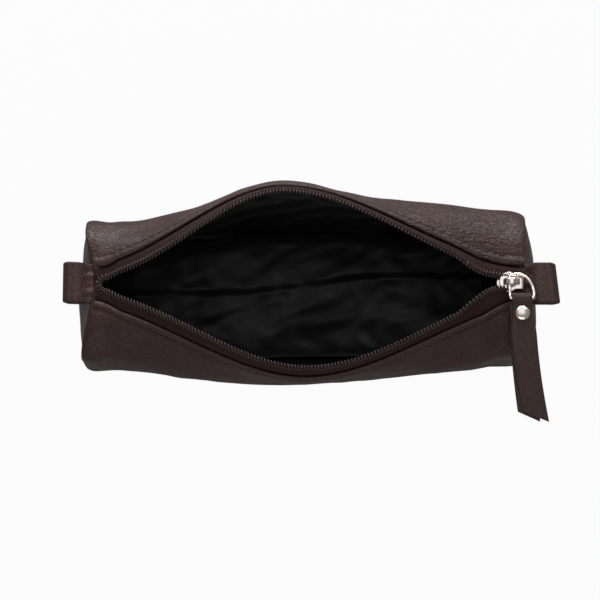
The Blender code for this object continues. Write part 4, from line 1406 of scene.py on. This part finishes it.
@dataclass
class Zip:
    """The zip: a woven tape and a nylon coil on each side, and the coil's turn round the left end."""

    form: PouchForm
    tape: Material
    nylon: Material
    thread: Material
    pitch: float = 1.5 * MM
    coil_reach: float = 5.65 * MM
    coil_wider: float = 1.6 * MM
    coil_half_width: float = 1.4 * MM
    coil_half_height: float = 0.75 * MM
    coil_lift: float = 0.35 * MM
    strand: float = 0.36 * MM
    turn_points: int = 10
    thread_length: float = 1.6 * MM
    thread_radius: float = 0.28 * MM
    thread_sag: float = 0.06 * MM
    thread_lift: float = 0.86 * MM
    thread_apart: float = 0.2 * MM
    tape_half: float = 0.32 * MM
    tape_rows: int = 14
    tape_columns: int = 150
    last_columns: int = 30
    tape_under: float = 2.4 * MM
    tape_short: float = 0.2 * MM
    tape_past: float = 0.4 * MM
    tape_fall: float = 1.9 * MM
    turn_x: float = -92.5 * MM
    turn_length: float = 3.9 * MM
    end_fall: float = 6.0 * MM
    end_thick: tuple[float, float] = (0.25 * MM, -0.35 * MM)
    slider_nose: float = 88.0 * MM
    coil_end: float = 97.5 * MM
    meet_half: float = 1.55 * MM
    slot_rise: float = 0.95 * MM
    slot_half: float = 3.0 * MM
    rise_run: float = 9 * MM
    front_bends: tuple[float, float] = (-117.4 * MM, 124.0 * MM)
    back_bends: tuple[float, float] = (-103.4 * MM, 112.5 * MM)
    last_start: float = 72.0 * MM
    last_still: float = 94.5 * MM
    drift_reach: float = 100 * MM
    front_drift: tuple[float, ...] = (0.0, 0.0, 0.2, 0.2, 0.0, -0.8, -1.2, -0.5, 0.0)
    back_drift: tuple[float, ...] = (0.0, 0.6, 1.1, 0.9, 0.2, -0.6, -0.9, -0.5, 0.0)

    def reach_at(self, x: Array, side: float) -> Array:
        """How far the coil's middle lies in from the leather: most at the middle, and into the slider's slot.

        Args:
            x: distance along the zip.
            side: the sign of Y.

        Returns:
            Distances across the tape.
        """
        drift = table_curve(self.back_drift if side > 0 else self.front_drift, (x / self.drift_reach + 1) / 2)
        plain = self.coil_reach + self.coil_wider * self.form.opening(x, side) + drift
        lip = self.form.lip_line(x, np.zeros_like(x), np.zeros_like(x), side)[..., 0]
        share = smooth((x - self.slider_nose + 22 * MM) / (24 * MM))
        half = self.slot_half + (self.meet_half - self.slot_half) * smooth((x - self.slider_nose - 3 * MM) / (4 * MM))
        return plain + (lip - half - plain) * share

    def into_slot(self, x: Array) -> Array:
        """How much the tape and coil rise to enter the slider's slot: nothing until shortly before its nose."""
        return self.slot_rise * smooth((x - self.slider_nose + self.rise_run) / self.rise_run)

    def beside_lip(self, x: Array, reach: Array, lift: Array, side: float) -> Array:
        """World points on the zip, from their reach in from the leather and their lift off the tape."""
        return self.form.world(x, self.form.lip_line(x, reach, lift, side), side)

    def ends(self, wall: Wall, stretch: Stretch, far_left: float, far_right: float) -> tuple[float, float]:
        """Where a stretch of the zip starts and ends along X.

        Args:
            wall: front or back.
            stretch: which part of the zip.
            far_left: where the zip starts, for this kind of piece.
            far_right: where it ends.

        Returns:
            The stretch's two ends.
        """
        if stretch is Stretch.LEFT:
            return far_left, self.form.widest(wall.side)
        if stretch is Stretch.RIGHT:
            return self.form.widest(wall.side), self.last_start
        return self.last_start, far_right

    def bend(self, piece: Piece, wall: Wall, stretch: Stretch) -> None:
        """Bakes a stretch's transform into its mesh; the stretch doesn't bend.

        It works out where a bend would start and end, for the last stretch from the share where it joins the one
        before it, but doesn't use them.

        Args:
            piece: the finished piece.
            wall: front or back.
            stretch: which part of the zip.
        """
        left, right = self.front_bends if wall is Wall.FRONT else self.back_bends
        start = left if stretch is Stretch.LEFT else right
        end = self.form.widest(wall.side)
        if stretch is Stretch.LAST:
            share = (right - self.last_start) / (right - end)
            start, end = self.last_still, self.last_still - (self.last_still - self.last_start) / share
        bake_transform(piece)

    def tape_piece(self, wall: Wall, stretch: Stretch) -> None:
        """A stretch of tape: out from under the leather's lip, up to the coil, and through the slider's side slot.

        Args:
            wall: front or back.
            stretch: which part of the zip.
        """
        side = wall.side
        far_left, far_right = (self.form.seams[row][-1] * MM + self.tape_past for row in (0, 2))
        low, high = self.ends(wall, stretch, -far_left, far_right)
        columns = self.last_columns if stretch is Stretch.LAST else self.tape_columns
        x = np.broadcast_to(np.linspace(low, high, columns)[None], (self.tape_rows, columns))
        share = np.linspace(0, 1, self.tape_rows)[:, None]
        reach = -self.tape_under + (self.reach_at(x, side) - self.tape_short + self.tape_under) * share
        lift = -self.tape_fall * (1 - smooth((reach + 1.0 * MM) / (3.4 * MM)))
        lift = lift + self.into_slot(x) * smooth(reach / (3.0 * MM))
        halves = (self.tape_half, -self.tape_half)
        shape = folded_sheet(*(self.beside_lip(x, reach, lift + half, side) for half in halves))
        name = f"{wall.title}_tape_{stretch.value}"
        piece = make_piece(name, shape, self.tape, two_faced(x, reach), 60)
        self.bend(piece, wall, stretch)
        if stretch is Stretch.LEFT:
            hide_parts(f"{wall.title}_tape")

    def coil(self, wall: Wall, stretch: Stretch) -> None:
        """A stretch of a coil, every turn of it, as one strand: a flattened helix beside the tape's edge.

        Args:
            wall: front or back.
            stretch: which part of the zip.
        """
        low, high = self.ends(wall, stretch, self.turn_x, self.coil_end)
        x = np.linspace(low, high, int((high - low) / self.pitch * self.turn_points) + 1)
        angle = 2 * math.pi * x / self.pitch + (math.pi if wall is Wall.BACK else 0.0)
        reach = self.reach_at(x, wall.side) + self.coil_half_width * np.cos(angle)
        rise = self.into_slot(x)
        lift = self.coil_half_height * (1 - 0.3 * rise / self.slot_rise) * np.sin(angle) + self.coil_lift + 0.6 * rise
        shape = round_wire(self.beside_lip(x, reach, lift, wall.side), self.strand, 6)
        piece = make_piece(f"{wall.title}_coil_{stretch.value}", shape, self.nylon, crease=80)
        self.bend(piece, wall, stretch)
        if stretch is Stretch.LEFT:
            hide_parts(f"{wall.title}_coil")

    def stitched(self, centres: list[Array], frames: list[Array]) -> Shape:
        """Short threads over a coil's turns, from the centres and frames of each row of them."""
        stitch = capsule(self.thread_length, self.thread_radius, self.thread_sag, 5, 5)
        return repeated(stitch, np.concatenate(centres), np.concatenate(frames))

    def coil_stitches(self, wall: Wall, stretch: Stretch) -> None:
        """The two rows of thread that sew a stretch of coil to its tape, one stitch over each turn.

        Args:
            wall: front or back.
            stretch: which part of the zip.
        """
        side = wall.side
        low, high = self.ends(wall, stretch, self.turn_x, self.coil_end)
        x = np.arange(math.ceil(low / self.pitch), math.floor(high / self.pitch)) * self.pitch + self.pitch / 2
        centres, frames = [], []
        for offset in (-self.thread_apart, self.thread_apart):
            reach = self.reach_at(x, side) + offset
            lift = self.coil_half_height + self.thread_lift + 0.5 * self.into_slot(x)
            here = self.beside_lip(x, reach, lift, side)
            ahead = unit(self.beside_lip(x + STEP, reach, lift, side) - here)
            up = unit(self.beside_lip(x, reach, lift + MM, side) - here)
            centres.append(here)
            frames.append(np.stack([ahead, np.cross(up, ahead), up], axis=1))
        name = f"{wall.title}_coil_thread_{stretch.value}"
        self.bend(make_piece(name, self.stitched(centres, frames), self.thread, crease=80), wall, stretch)

    def turn_curve(self, angle: Array, shrink: float = 0.0) -> Array:
        """Plan of the turn that joins the two coils: half an ellipse, from the front arm round to the back arm.

        Args:
            angle: from 0 at the front arm to pi at the back arm.
            shrink: how far inside the coil's middle.

        Returns:
            Pairs of X and Y.
        """
        middle, half, _ = self.turn_arms()
        x = self.turn_x - (self.turn_length - shrink) * np.sin(angle)
        return np.stack([x, middle - (half - shrink) * np.cos(angle)], axis=-1)

    def turn_arms(self) -> tuple[float, float, float]:
        """Where the two coils turn: the Y halfway between them, half of their distance, and the tape's height."""
        start = np.array([self.turn_x])
        front, back = (self.form.lip_line(start, self.reach_at(start, w.side), np.zeros(1), w.side)[0] for w in Wall)
        low, high = -float(front[0]), float(back[0])
        return (low + high) / 2, (high - low) / 2, float(back[1])

    def left_turn(self) -> None:
        """The coil's turn round the left end of the zip, evenly wound along its curve, and its thread."""
        fine = np.linspace(0, math.pi, 400)
        along = np.concatenate([[0.0], np.cumsum(np.linalg.norm(np.diff(self.turn_curve(fine), axis=0), axis=-1))])
        height = self.turn_arms()[2]

        def at(distance: Array) -> tuple[Array, Array]:
            """The turn's middle at a distance along it, and the direction to its inside."""
            angle = np.interp(distance, along, fine)
            middle = self.turn_curve(angle)
            return middle, unit(self.turn_curve(angle, STEP) - middle)

        count = int(along[-1] / self.pitch * self.turn_points)
        middle, inward = at(np.linspace(0, along[-1], count + 1))
        phase = 2 * math.pi * np.arange(count + 1) / self.turn_points
        plan = middle + inward * (self.coil_half_width * np.cos(phase))[:, None]
        wound = np.column_stack([plan, height + self.coil_lift + self.coil_half_height * np.sin(phase)])
        piece = make_piece("left_coil_turn", round_wire(wound, self.strand, 6), self.nylon, crease=80)
        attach(piece, "root")
        turns = int(along[-1] / self.pitch)
        middle, inward = at((np.arange(turns) + 0.5) * self.pitch)
        lift = np.full(turns, height + self.coil_half_height + self.thread_lift)
        rows = [np.column_stack([middle - inward * side * self.thread_apart, lift]) for side in (1, -1)]
        forward = np.column_stack([inward[:, 1], -inward[:, 0], np.zeros(turns)])
        up = np.tile([0.0, 0.0, 1.0], (turns, 1))
        frames = np.stack([forward, np.cross(up, forward), up], axis=1)
        shape = self.stitched(rows, [frames, frames])
        piece = make_piece("left_turn_thread", shape, self.thread, crease=80)
        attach(piece, "root")

    def left_tape_end(self) -> None:
        """The tapes' folded end: a patch that falls from under the turned coil to the end seam."""
        middle, half, height = self.turn_arms()
        across = np.linspace(-1, 1, 41) * (half + 0.3 * MM)
        inner = self.turn_x - (self.turn_length - 0.7 * MM) * np.sqrt(np.clip(1 - (across / half) ** 2, 0, 1))
        share = np.linspace(0, 1, 10)[:, None]
        x = -(self.form.seam_top + 0.7 * MM) * (1 - share) + inner[None] * share
        y = np.broadcast_to(middle + across[None], x.shape)
        low = height - 0.35 * MM - self.end_fall * (1 - share) ** 0.6
        shape = folded_sheet(*(np.stack([x, y, low + lift + 0 * x], axis=-1) for lift in self.end_thick))
        piece = make_piece("left_tape_end", shape, self.tape, two_faced(x, y), 60)
        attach(piece, "root")

    def build(self) -> None:
        """Makes the tapes, the coils and their thread."""
        for wall in Wall:
            for stretch in Stretch:
                self.tape_piece(wall, stretch)
                self.coil(wall, stretch)
                self.coil_stitches(wall, stretch)
        self.left_turn()
        self.left_tape_end()


@dataclass
class Pull:
    """The slider and what hangs from it: body, crown, wire ring, folded strap and its rivet."""

    nickel: Material
    rivet_nickel: Material
    leather: Material
    nose: float = 88.0 * MM
    length: float = 11.1 * MM
    nose_half: float = 4.75 * MM
    tail_half: float = 3.4 * MM
    low: float = 66.1 * MM
    height: float = 3.8 * MM
    plate: float = 1.15 * MM
    crown_height: float = 4.2 * MM
    crown_length: float = 7.7 * MM
    crown_half: float = 1.45 * MM
    wire: float = 0.8 * MM
    ring_x: float = 92.4 * MM
    ring_z: float = 71.7 * MM
    ring_width: float = 10.9 * MM
    ring_front: float = 7.8 * MM
    ring_back: float = 3.3 * MM
    ring_rise: float = 1.6 * MM
    strap_leather: float = 1.3 * MM
    strap_fold: float = 9.2 * MM
    strap_width: float = 11.6 * MM
    strap_length: float = 54.6 * MM
    strap_slope: float = math.radians(8.0)
    strap_wave: float = 0.35 * MM
    strap_droop: float = 1.2 * MM
    strap_lean: float = 6.4 * MM
    strap_slant: float = 4.6 * MM
    under_narrower: float = 1.4 * MM
    under_near: float = 1.0 * MM
    under_shift: float = 0.4 * MM
    under_far: float = 2.9 * MM
    rivet_at: float = 7.0 * MM
    rivet_radius: float = 3.4 * MM
    rivet_dome: float = 1.35 * MM
    rivet_rim: float = 0.5 * MM
    washer: tuple[tuple[float, float], ...] = (
        (0.05, -0.75), (2.6, -0.75), (2.95, -0.6), (3.0, -0.3), (2.9, 0.0), (1.3, 0.0), (1.3, 2.2), (0.05, 2.2)
    )  # fmt: skip
    ring_shares: tuple[tuple[float, float], ...] = (
        (0.0, 0.40), (0.0, 0.62), (0.0, 0.84), (0.10, 0.96), (0.42, 1.0), (0.72, 0.86), (0.92, 0.58), (1.0, 0.30),
        (1.0, 0.08), (0.98, 0.02), (0.94, 0.0), (0.50, 0.0), (0.06, 0.0), (0.02, 0.02), (0.0, 0.08),
    )  # fmt: skip

    def half_width(self, x: Array) -> Array:
        """Half-width of a slider plate: a round nose, as a circle gives it, drawn in to a straight narrower tail.

        Args:
            x: distance along the zip.

        Returns:
            The half-widths.
        """
        radius, along = self.nose_half, x - self.nose
        circle = np.sqrt(np.clip(radius**2 - (along - radius) ** 2, 0, None))
        drawn = radius + (self.tail_half - radius) * smooth((along - radius) / (3.2 * MM))
        return np.where(along < radius, circle, drawn)

    def plan(self, start: float = 0.0) -> Array:
        """Plan of a slider plate, from a start past the nose to the tail, whose corners are rounded.

        Args:
            start: how far before the nose the plate begins.

        Returns:
            Pairs in order round the plate.
        """
        angles = np.linspace(0.04, math.pi / 2, 16)
        nose = self.nose + self.nose_half * (1 - np.cos(angles))
        x = np.concatenate([nose, np.linspace(self.nose + self.nose_half, self.nose + self.length, 16)[1:]])
        tail = np.clip((self.nose + self.length - x) / (1.1 * MM), 0, 1)
        half = self.half_width(x) * (0.7 + 0.3 * np.sqrt(1 - (1 - tail) ** 2))
        x = x - start * np.clip(1 - (x - self.nose) / self.nose_half, 0, 1)
        upper = np.stack([x, half], axis=-1)
        return np.concatenate([upper, upper[::-1] * [1, -1]])

    def body(self) -> None:
        """The slider's body: two plates, a neck between them at the nose, and flanges down their sides."""
        top = self.low + self.height
        parts = [
            rounded_block(self.plan(), top - self.plate, top, 0.4 * MM),
            rounded_block(self.plan(1.1 * MM), self.low, self.low + self.plate, 0.4 * MM),
        ]
        neck = unit_circle(20) * [1.6 * MM, 0.9 * MM] + [self.nose + 2.4 * MM, 0]
        parts.append(rounded_block(neck, self.low + self.plate / 2, top - self.plate / 2, 0.1 * MM))
        edge_x = self.nose + np.linspace(0.3, 0.98, 14) * self.length
        edge = self.half_width(edge_x) - 0.05 * MM
        for side in (-1, 1):
            outside, inside = (np.stack([edge_x, side * (edge - depth)], axis=-1) for depth in (0, 0.8 * MM))
            flange = np.concatenate([outside, inside[::-1]])
            for low, high in ((self.low + 0.2 * MM, self.low + 1.5 * MM), (top - 1.5 * MM, top - 0.2 * MM)):
                parts.append(rounded_block(flange, low, high, 0.12 * MM, 2))
        piece = make_piece("slider_body_plate", joined(parts), self.nickel, crease=50)
        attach(piece, "slider")
        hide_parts("slider_body")

    def crown(self) -> None:
        """The crown: a bridge along the slider, with feet at both ends and the ring's eye under it."""
        start, low = self.nose + 1.7 * MM, self.low + self.height
        end, high = start + self.crown_length, low + self.crown_height
        eye_low, eye_high = start + 1.3 * MM, end - 2.4 * MM
        outside = np.stack([np.linspace(start, end, 25), np.zeros(25)], axis=-1)
        outside[:, 1] = low + (high - low) * np.clip(np.sin(np.linspace(0, 1, 25) * math.pi), 0, 1) ** 0.38
        outside[[0, -1], 1] = low
        inside = np.stack([np.linspace(eye_high, eye_low, 13), np.zeros(13)], axis=-1)
        inside[:, 1] = low + (high - low - 1.25 * MM) * np.sin(np.linspace(0, 1, 13) * math.pi) ** 0.45
        inside[[0, -1], 1] = low
        block, faces = rounded_block(np.concatenate([outside, inside]), -self.crown_half, self.crown_half, 0.35 * MM)
        shape = (block[:, [0, 2, 1]], faces)
        piece = make_piece("slider_crown_bridge", shape, self.nickel, crease=50)
        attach(piece, "slider")
        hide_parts("slider_crown")

    def ring(self) -> None:
        """The ring: round wire through the crown's eye, round its back and down to the bar that holds the strap."""
        shares = np.array(self.ring_shares)
        looped = np.concatenate([shares[-1:], shares, shares[:2]])
        spans = len(looped) - 1
        plan, _ = through_points(looped, np.linspace(1, spans - 1, 240, endpoint=False) / spans)
        x = self.ring_x + plan[:, 0] * self.ring_width
        y = -self.ring_front + plan[:, 1] * (self.ring_front + self.ring_back)
        z = self.ring_z + self.ring_rise * smooth((0.55 - plan[:, 1]) / 0.55)
        shape = round_wire(np.stack([x, y, z], axis=-1), self.wire, 20, closed=True)
        piece = make_piece("pull_ring_wire", shape, self.nickel, crease=80)
        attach(piece, "ring")
        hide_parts("pull_ring")

    def strap_point(self, along: Array, lift: Array) -> tuple[Array, Array]:
        """World Y and Z of a point of the strap.

        Args:
            along: its distance down the strap from the ring's bar.
            lift: its lift off the strap's middle.

        Returns:
            Y and Z.
        """
        cosine, sine = math.cos(self.strap_slope), math.sin(self.strap_slope)
        y = -self.ring_front - along * cosine - lift * sine
        return y, self.ring_z + self.ring_rise - along * sine + lift * cosine

    def strap(self) -> None:
        """The strap: one strip of leather folded round the ring's bar, its lower layer showing past the upper one.

        The path runs up the upper layer, round a half circle and down the lower layer, and leans to the right.
        """
        pair = (self.strap_leather + 0.12 * MM) / 2
        radius = self.wire + 0.1 * MM + self.strap_leather / 2
        flat = np.linspace(self.strap_length, 0, 90)
        lift = pair + (radius - pair) * smooth(1 - flat / (6.0 * MM))
        angles = np.linspace(0, math.pi, 24)[1:-1]
        along = np.concatenate([flat, -radius * np.sin(angles), flat[::-1]])
        lifts = np.concatenate([lift, radius * np.cos(angles), -lift[::-1]])
        layer = np.concatenate([np.zeros(90), np.linspace(0, 1, 22), np.ones(90)])
        share = np.clip(along / self.strap_length, 0, 1)
        lifts = lifts + self.strap_wave * np.sin(share * 5.5) * share
        lifts = lifts - self.strap_droop * share**3 * (1 - 0.4 * layer)
        width = self.strap_fold + (self.strap_width - self.strap_fold) * smooth((along - 4 * MM) / (14 * MM))
        width = width - self.under_narrower * layer * share**2
        near = self.under_near * smooth(along / (4 * MM)) * (1 - smooth(share / 0.3))
        shift = near + self.under_shift + self.under_far * share**2.4
        middle = self.ring_x + self.ring_width / 2 + 0.3 * MM * smooth(share * 6)
        middle = middle + self.strap_lean * share**2 - shift * layer
        y, z = self.strap_point(along, lifts)
        path = np.stack([middle, y, z], axis=-1)
        ahead = unit(np.gradient(np.stack([np.zeros_like(y), y, z], axis=-1), axis=0))
        across = np.stack([width, -self.strap_slant * share**4, np.zeros_like(y)], axis=-1)
        up = np.cross(ahead, [[1.0, 0.0, 0.0]]) * -self.strap_leather
        shape = swept(path, across, up, rounded_section(5, 0.045))
        piece = make_piece("pull_strap_leather", shape, self.leather, crease=50)
        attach(piece, "strap")
        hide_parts("pull_strap")

    def rivet(self) -> None:
        """The rivet: a domed cap with a rim above the strap, and a washer with its post below."""
        y, z = self.strap_point(np.array(self.rivet_at), np.array(0.0))
        centre = np.array([self.ring_x + self.ring_width / 2, float(y), float(z)])
        axis = np.array([0.0, -math.sin(self.strap_slope), math.cos(self.strap_slope)])
        surface, radius = self.strap_leather + 0.1 * MM, self.rivet_radius
        brim = surface + self.rivet_rim
        angles = np.linspace(0, math.pi / 2, 14)[:-1]
        curve = np.stack([radius * np.cos(angles) ** 0.85, brim + self.rivet_dome * np.sin(angles)], axis=-1)
        rim = np.array([[radius * 0.9, surface - 0.05 * MM], [radius * 0.985, surface + 0.1 * MM]])
        cap = np.concatenate([rim, curve, [[0.05 * MM, brim + self.rivet_dome]]])
        piece = make_piece("rivet_cap_dome", turned(cap, centre, axis), self.rivet_nickel)
        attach(piece, "strap")
        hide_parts("rivet_cap")
        washer = np.array(self.washer) * MM - [[0.0, surface]]
        piece = make_piece("rivet_base_washer", turned(washer, centre, axis), self.rivet_nickel)
        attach(piece, "strap")
        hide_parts("rivet_base")

    def build(self) -> None:
        """Makes the slider, the ring, the strap and the rivet."""
        self.body()
        self.crown()
        self.ring()
        self.strap()
        self.rivet()


@dataclass
class EndLoops:
    """The folded leather loop at each end."""

    form: PouchForm
    leather: Material
    height: float = 64.2 * MM
    length: float = 14.0 * MM
    width: float = 19.3 * MM
    thickness: float = 1.5 * MM
    eye_half: float = 2.4 * MM
    seam_gap: float = 0.7 * MM
    root: float = 1.65 * MM
    root_inside: float = 2.6 * MM
    root_half: float = 0.8 * MM
    root_reach: float = 4.5 * MM
    left_shorter: float = 2.2 * MM
    left_shift: float = 0.5 * MM
    right_slant: float = 0.11
    bow: float = 0.3 * MM
    saddle: float = 0.25 * MM
    bunch: float = 0.22 * MM
    bunch_long: float = 1.15 * MM
    bunch_short: float = 0.62 * MM

    def fine_section(self) -> Array:
        """Outline of the strip across the loop: rounded edges, with points between them for the root's wrinkles."""
        corners = rounded_section(5, 0.035)
        over = np.stack([np.linspace(0.46, -0.46, 40), np.full(40, 0.5)], axis=-1)
        return np.concatenate([corners[:5], over, corners[5:14], over[::-1] * [1, -1], corners[14:]])

    def loop(self, end: End) -> None:
        """A strip of leather, out from the seam, round a half circle at the tip and back.

        Args:
            end: left or right.
        """
        hinge = float(self.form.seam_x(np.array(self.height))) + self.seam_gap + self.root
        middle_half = self.eye_half + self.thickness / 2
        length = self.length - (self.left_shorter if end is End.LEFT else 0.0)
        tip = length - middle_half - self.thickness / 2
        flat = np.linspace(-self.root_inside, tip, 30)
        rise = self.root_half + (middle_half - self.root_half) * smooth((flat + 0.5 * MM) / (5.9 * MM))
        angles = np.linspace(math.pi / 2, -math.pi / 2, 22)[1:-1]
        out = np.concatenate([flat, tip + middle_half * np.cos(angles), flat[::-1]])
        lift = np.concatenate([rise, middle_half * np.sin(angles), -rise[::-1]])
        along = np.clip(out / length, 0, 1)
        dip = self.saddle * np.exp(-(((along - 0.66) / 0.12) ** 2)) * (lift > 0)
        bow = self.bow * np.sin(along * math.pi) - dip
        shift = self.left_shift * along if end is End.LEFT else np.zeros_like(out)
        path = np.stack([end.sign * (hinge + out), shift, self.height + lift + bow], axis=-1)
        narrow = self.width * (1 - 0.02 * np.sin(along * math.pi) - 0.05 * smooth((along - 0.75) / 0.25))
        slant = -self.right_slant * along if end is End.RIGHT else np.zeros_like(out)
        across = np.stack([narrow * slant, narrow, np.zeros_like(out)], axis=-1)
        up = np.cross(unit(np.gradient(path, axis=0)), [[0.0, 1.0, 0.0]]) * self.thickness
        section = self.fine_section()
        vertices, faces = swept(path, across, up, section)
        vertices = vertices.reshape(len(path), len(section), 3)
        root = (1 - smooth(out / self.root_reach))[:, None]
        y = vertices[..., 1]
        wrinkles = np.sin(y / self.bunch_long + end.sign) + 0.6 * np.sin(y / self.bunch_short + 2.0)
        vertices[..., 2] += self.bunch * root * wrinkles
        vertices[..., 1] *= 1 - 0.05 * root
        shape = (vertices.reshape(-1, 3), faces)
        piece = make_piece(f"{end.title}_loop_leather", shape, self.leather, crease=50)
        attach(piece, f"{end.title}_tab")
        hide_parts(f"{end.title}_loop")

    def build(self) -> None:
        """Makes both loops."""
        for end in End:
            self.loop(end)


@dataclass
class Studio:
    """The white table, soft lights and the camera of the photograph."""

    target: tuple[float, float, float] = (-3.7 * MM, 0.0, 10.0 * MM)
    elevation: float = math.radians(82.0)
    distance: float = 0.9
    scale: float = 2170.0
    frame: float = 600.0
    lamps: tuple[tuple[str, tuple[float, float, float], tuple[float, float], float], ...] = (
        ("back_left_softbox", (-0.4, 0.65, 0.85), (0.5, 0.35), 2.0),
        ("back_right_softbox", (0.5, 0.6, 0.85), (0.45, 0.35), 1.6),
        ("low_back_strip", (0.0, 0.85, 0.34), (1.1, 0.16), 9.0),
        ("top_softbox", (0.0, 0.1, 1.2), (0.9, 0.7), 2.0),
        ("front_fill", (0.0, -0.9, 0.6), (0.8, 0.5), 3.0),
    )

    floor_grey: float = 0.3
    floor_seen: float = 0.96
    floor_mirrored: tuple[float, float, float, float] = (0.08, 0.5, 0.05, 0.6)
    sky_lit: float = 0.22
    sky_mirrored: tuple[float, float, float, float] = (0.2, 0.95, 0.03, 0.6)
    aim: tuple[float, float, float] = (0.0, 0.0, 50 * MM)

    def floor(self) -> None:
        """A wide white floor: white to the camera, with a faint shadow, and brightest behind in reflections."""
        vertices = [(-3, -3, 0), (3, -3, 0), (3, 3, 0), (-3, 3, 0)]
        mesh = bpy.data.meshes.new("studio_floor")
        mesh.from_pydata(vertices, [], [(0, 1, 2, 3)])
        floor = bpy.data.objects.new("studio_floor", mesh)
        bpy.context.scene.collection.objects.link(floor)
        material = bpy.data.materials.new("studio_white")
        material.use_nodes = True
        nodes = Nodes(material.node_tree)
        nodes.tree.nodes.clear()
        seen = nodes.add("ShaderNodeLightPath").outputs
        place = nodes.add("ShaderNodeTexCoord").outputs["Object"]
        y = nodes.add("ShaderNodeSeparateXYZ", {0: place}).outputs["Y"]
        direct = nodes.maths("MULTIPLY", seen["Is Camera Ray"], self.floor_seen)
        mirrored = nodes.maths("MULTIPLY", seen["Is Glossy Ray"], nodes.ramp(y, *self.floor_mirrored))
        share = nodes.maths("MAXIMUM", nodes.maths("MAXIMUM", direct, mirrored), seen["Is Transmission Ray"])
        paint = nodes.add("ShaderNodeBsdfDiffuse", {"Color": shade((self.floor_grey,) * 3)}).outputs[0]
        glow = nodes.add("ShaderNodeEmission", {"Strength": 1.0}).outputs[0]
        mix = nodes.add("ShaderNodeMixShader", {0: share, 1: paint, 2: glow}).outputs[0]
        nodes.add("ShaderNodeOutputMaterial", {"Surface": mix})
        mesh.materials.append(material)

    def world(self) -> None:
        """A pale sky: white to the camera, and in reflections white behind the pouch and dimmer in front of it."""
        world = bpy.data.worlds.new("studio_sky")
        world.use_nodes = True
        bpy.context.scene.world = world
        nodes = Nodes(world.node_tree)
        seen = nodes.add("ShaderNodeLightPath").outputs
        direct = nodes.maths("MAXIMUM", seen["Is Camera Ray"], seen["Is Transmission Ray"])
        way = nodes.add("ShaderNodeTexCoord").outputs["Generated"]
        y = nodes.add("ShaderNodeSeparateXYZ", {0: way}).outputs["Y"]
        mirrored = nodes.maths("MULTIPLY", nodes.ramp(y, *self.sky_mirrored), seen["Is Glossy Ray"])
        level = nodes.ramp(nodes.maths("MAXIMUM", direct, mirrored), 0.0, 1.0, self.sky_lit, 1.0)
        background = nodes.tree.nodes["Background"]
        nodes.put(background.inputs["Color"], (1.0, 1.0, 1.0, 1.0))
        nodes.put(background.inputs["Strength"], level)

    def lights(self) -> None:
        """Large soft lamps, all turned to the pouch."""
        for name, place, size, watts in self.lamps:
            lamp = bpy.data.lights.new(name, "AREA")
            lamp.shape = "RECTANGLE"
            lamp.size, lamp.size_y = size
            lamp.energy = watts
            item = bpy.data.objects.new(name, lamp)
            bpy.context.scene.collection.objects.link(item)
            item.location = place
            item.rotation_euler = (Vector(self.aim) - Vector(place)).to_track_quat("-Z", "Y").to_euler()

    def camera(self) -> None:
        """The photograph's view: from in front and almost straight above."""
        data = bpy.data.cameras.new("photo_view")
        data.sensor_width = 36.0
        item = bpy.data.objects.new("photo_view", data)
        bpy.context.scene.collection.objects.link(item)
        target = Vector(self.target)
        away = Vector((0.0, -math.cos(self.elevation), math.sin(self.elevation)))
        item.location = target + away * self.distance
        item.rotation_euler = (-away).to_track_quat("-Z", "Y").to_euler()
        depth = self.distance - (68 * MM - self.target[2]) * math.sin(self.elevation)
        seen = self.frame / self.scale
        data.lens = data.sensor_width * depth / seen
        bpy.context.scene.camera = item

    def build(self) -> None:
        """Makes the whole studio, and sets how colours are shown."""
        self.floor()
        self.world()
        self.lights()
        self.camera()
        bpy.context.scene.view_settings.view_transform = "Standard"


def main() -> None:
    """Loads the frame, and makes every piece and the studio."""
    logging.basicConfig(level=logging.INFO, format="%(name)s: %(message)s")
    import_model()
    form = PouchForm()
    body_leather = Leather(
        "body_leather_grain",
        (0.0370, 0.0125, 0.0105),
        (0.0500, 0.0195, 0.0165),
        milled=(
            Wrinkles((66 * MM, 32 * MM, 62 * MM), 44 * MM, math.radians(8), 0.4),
            Wrinkles((-96 * MM, -20 * MM, 60 * MM), 30 * MM, math.radians(80), 0.15),
        ),
    ).material()
    strap_leather = Leather(
        "strap_leather_grain",
        (0.0360, 0.0150, 0.0125),
        (0.0460, 0.0210, 0.0175),
        roughness=0.55,
        grain_size=0.8 * MM,
        grain_depth=0.14 * MM,
    ).material()
    cloth = Satin("lining_satin", (0.0030, 0.0030, 0.0031)).material()
    tape = Tape("zip_tape_weave", (0.034, 0.0115, 0.0107)).material()
    nylon = Strand("coil_nylon", (0.036, 0.0195, 0.0168), 0.5).material()
    coil_thread = Strand("coil_thread", (0.016, 0.0068, 0.0060), 0.85).material()
    seam_thread = Strand("seam_thread", (0.030, 0.017, 0.015), 0.6, 2600.0).material()
    nickel = Nickel("slider_nickel", (0.76, 0.70, 0.64)).material()
    rivet_nickel = Nickel("rivet_nickel", (0.86, 0.78, 0.70), 0.2).material()
    Casing(form, body_leather, seam_thread).build()
    Lining(form, cloth).build()
    Zip(form, tape, nylon, coil_thread).build()
    Pull(nickel, rivet_nickel, strap_leather).build()
    EndLoops(form, body_leather).build()
    Studio().build()
    bpy.context.view_layer.update()


if __name__ == "__main__":
    main()
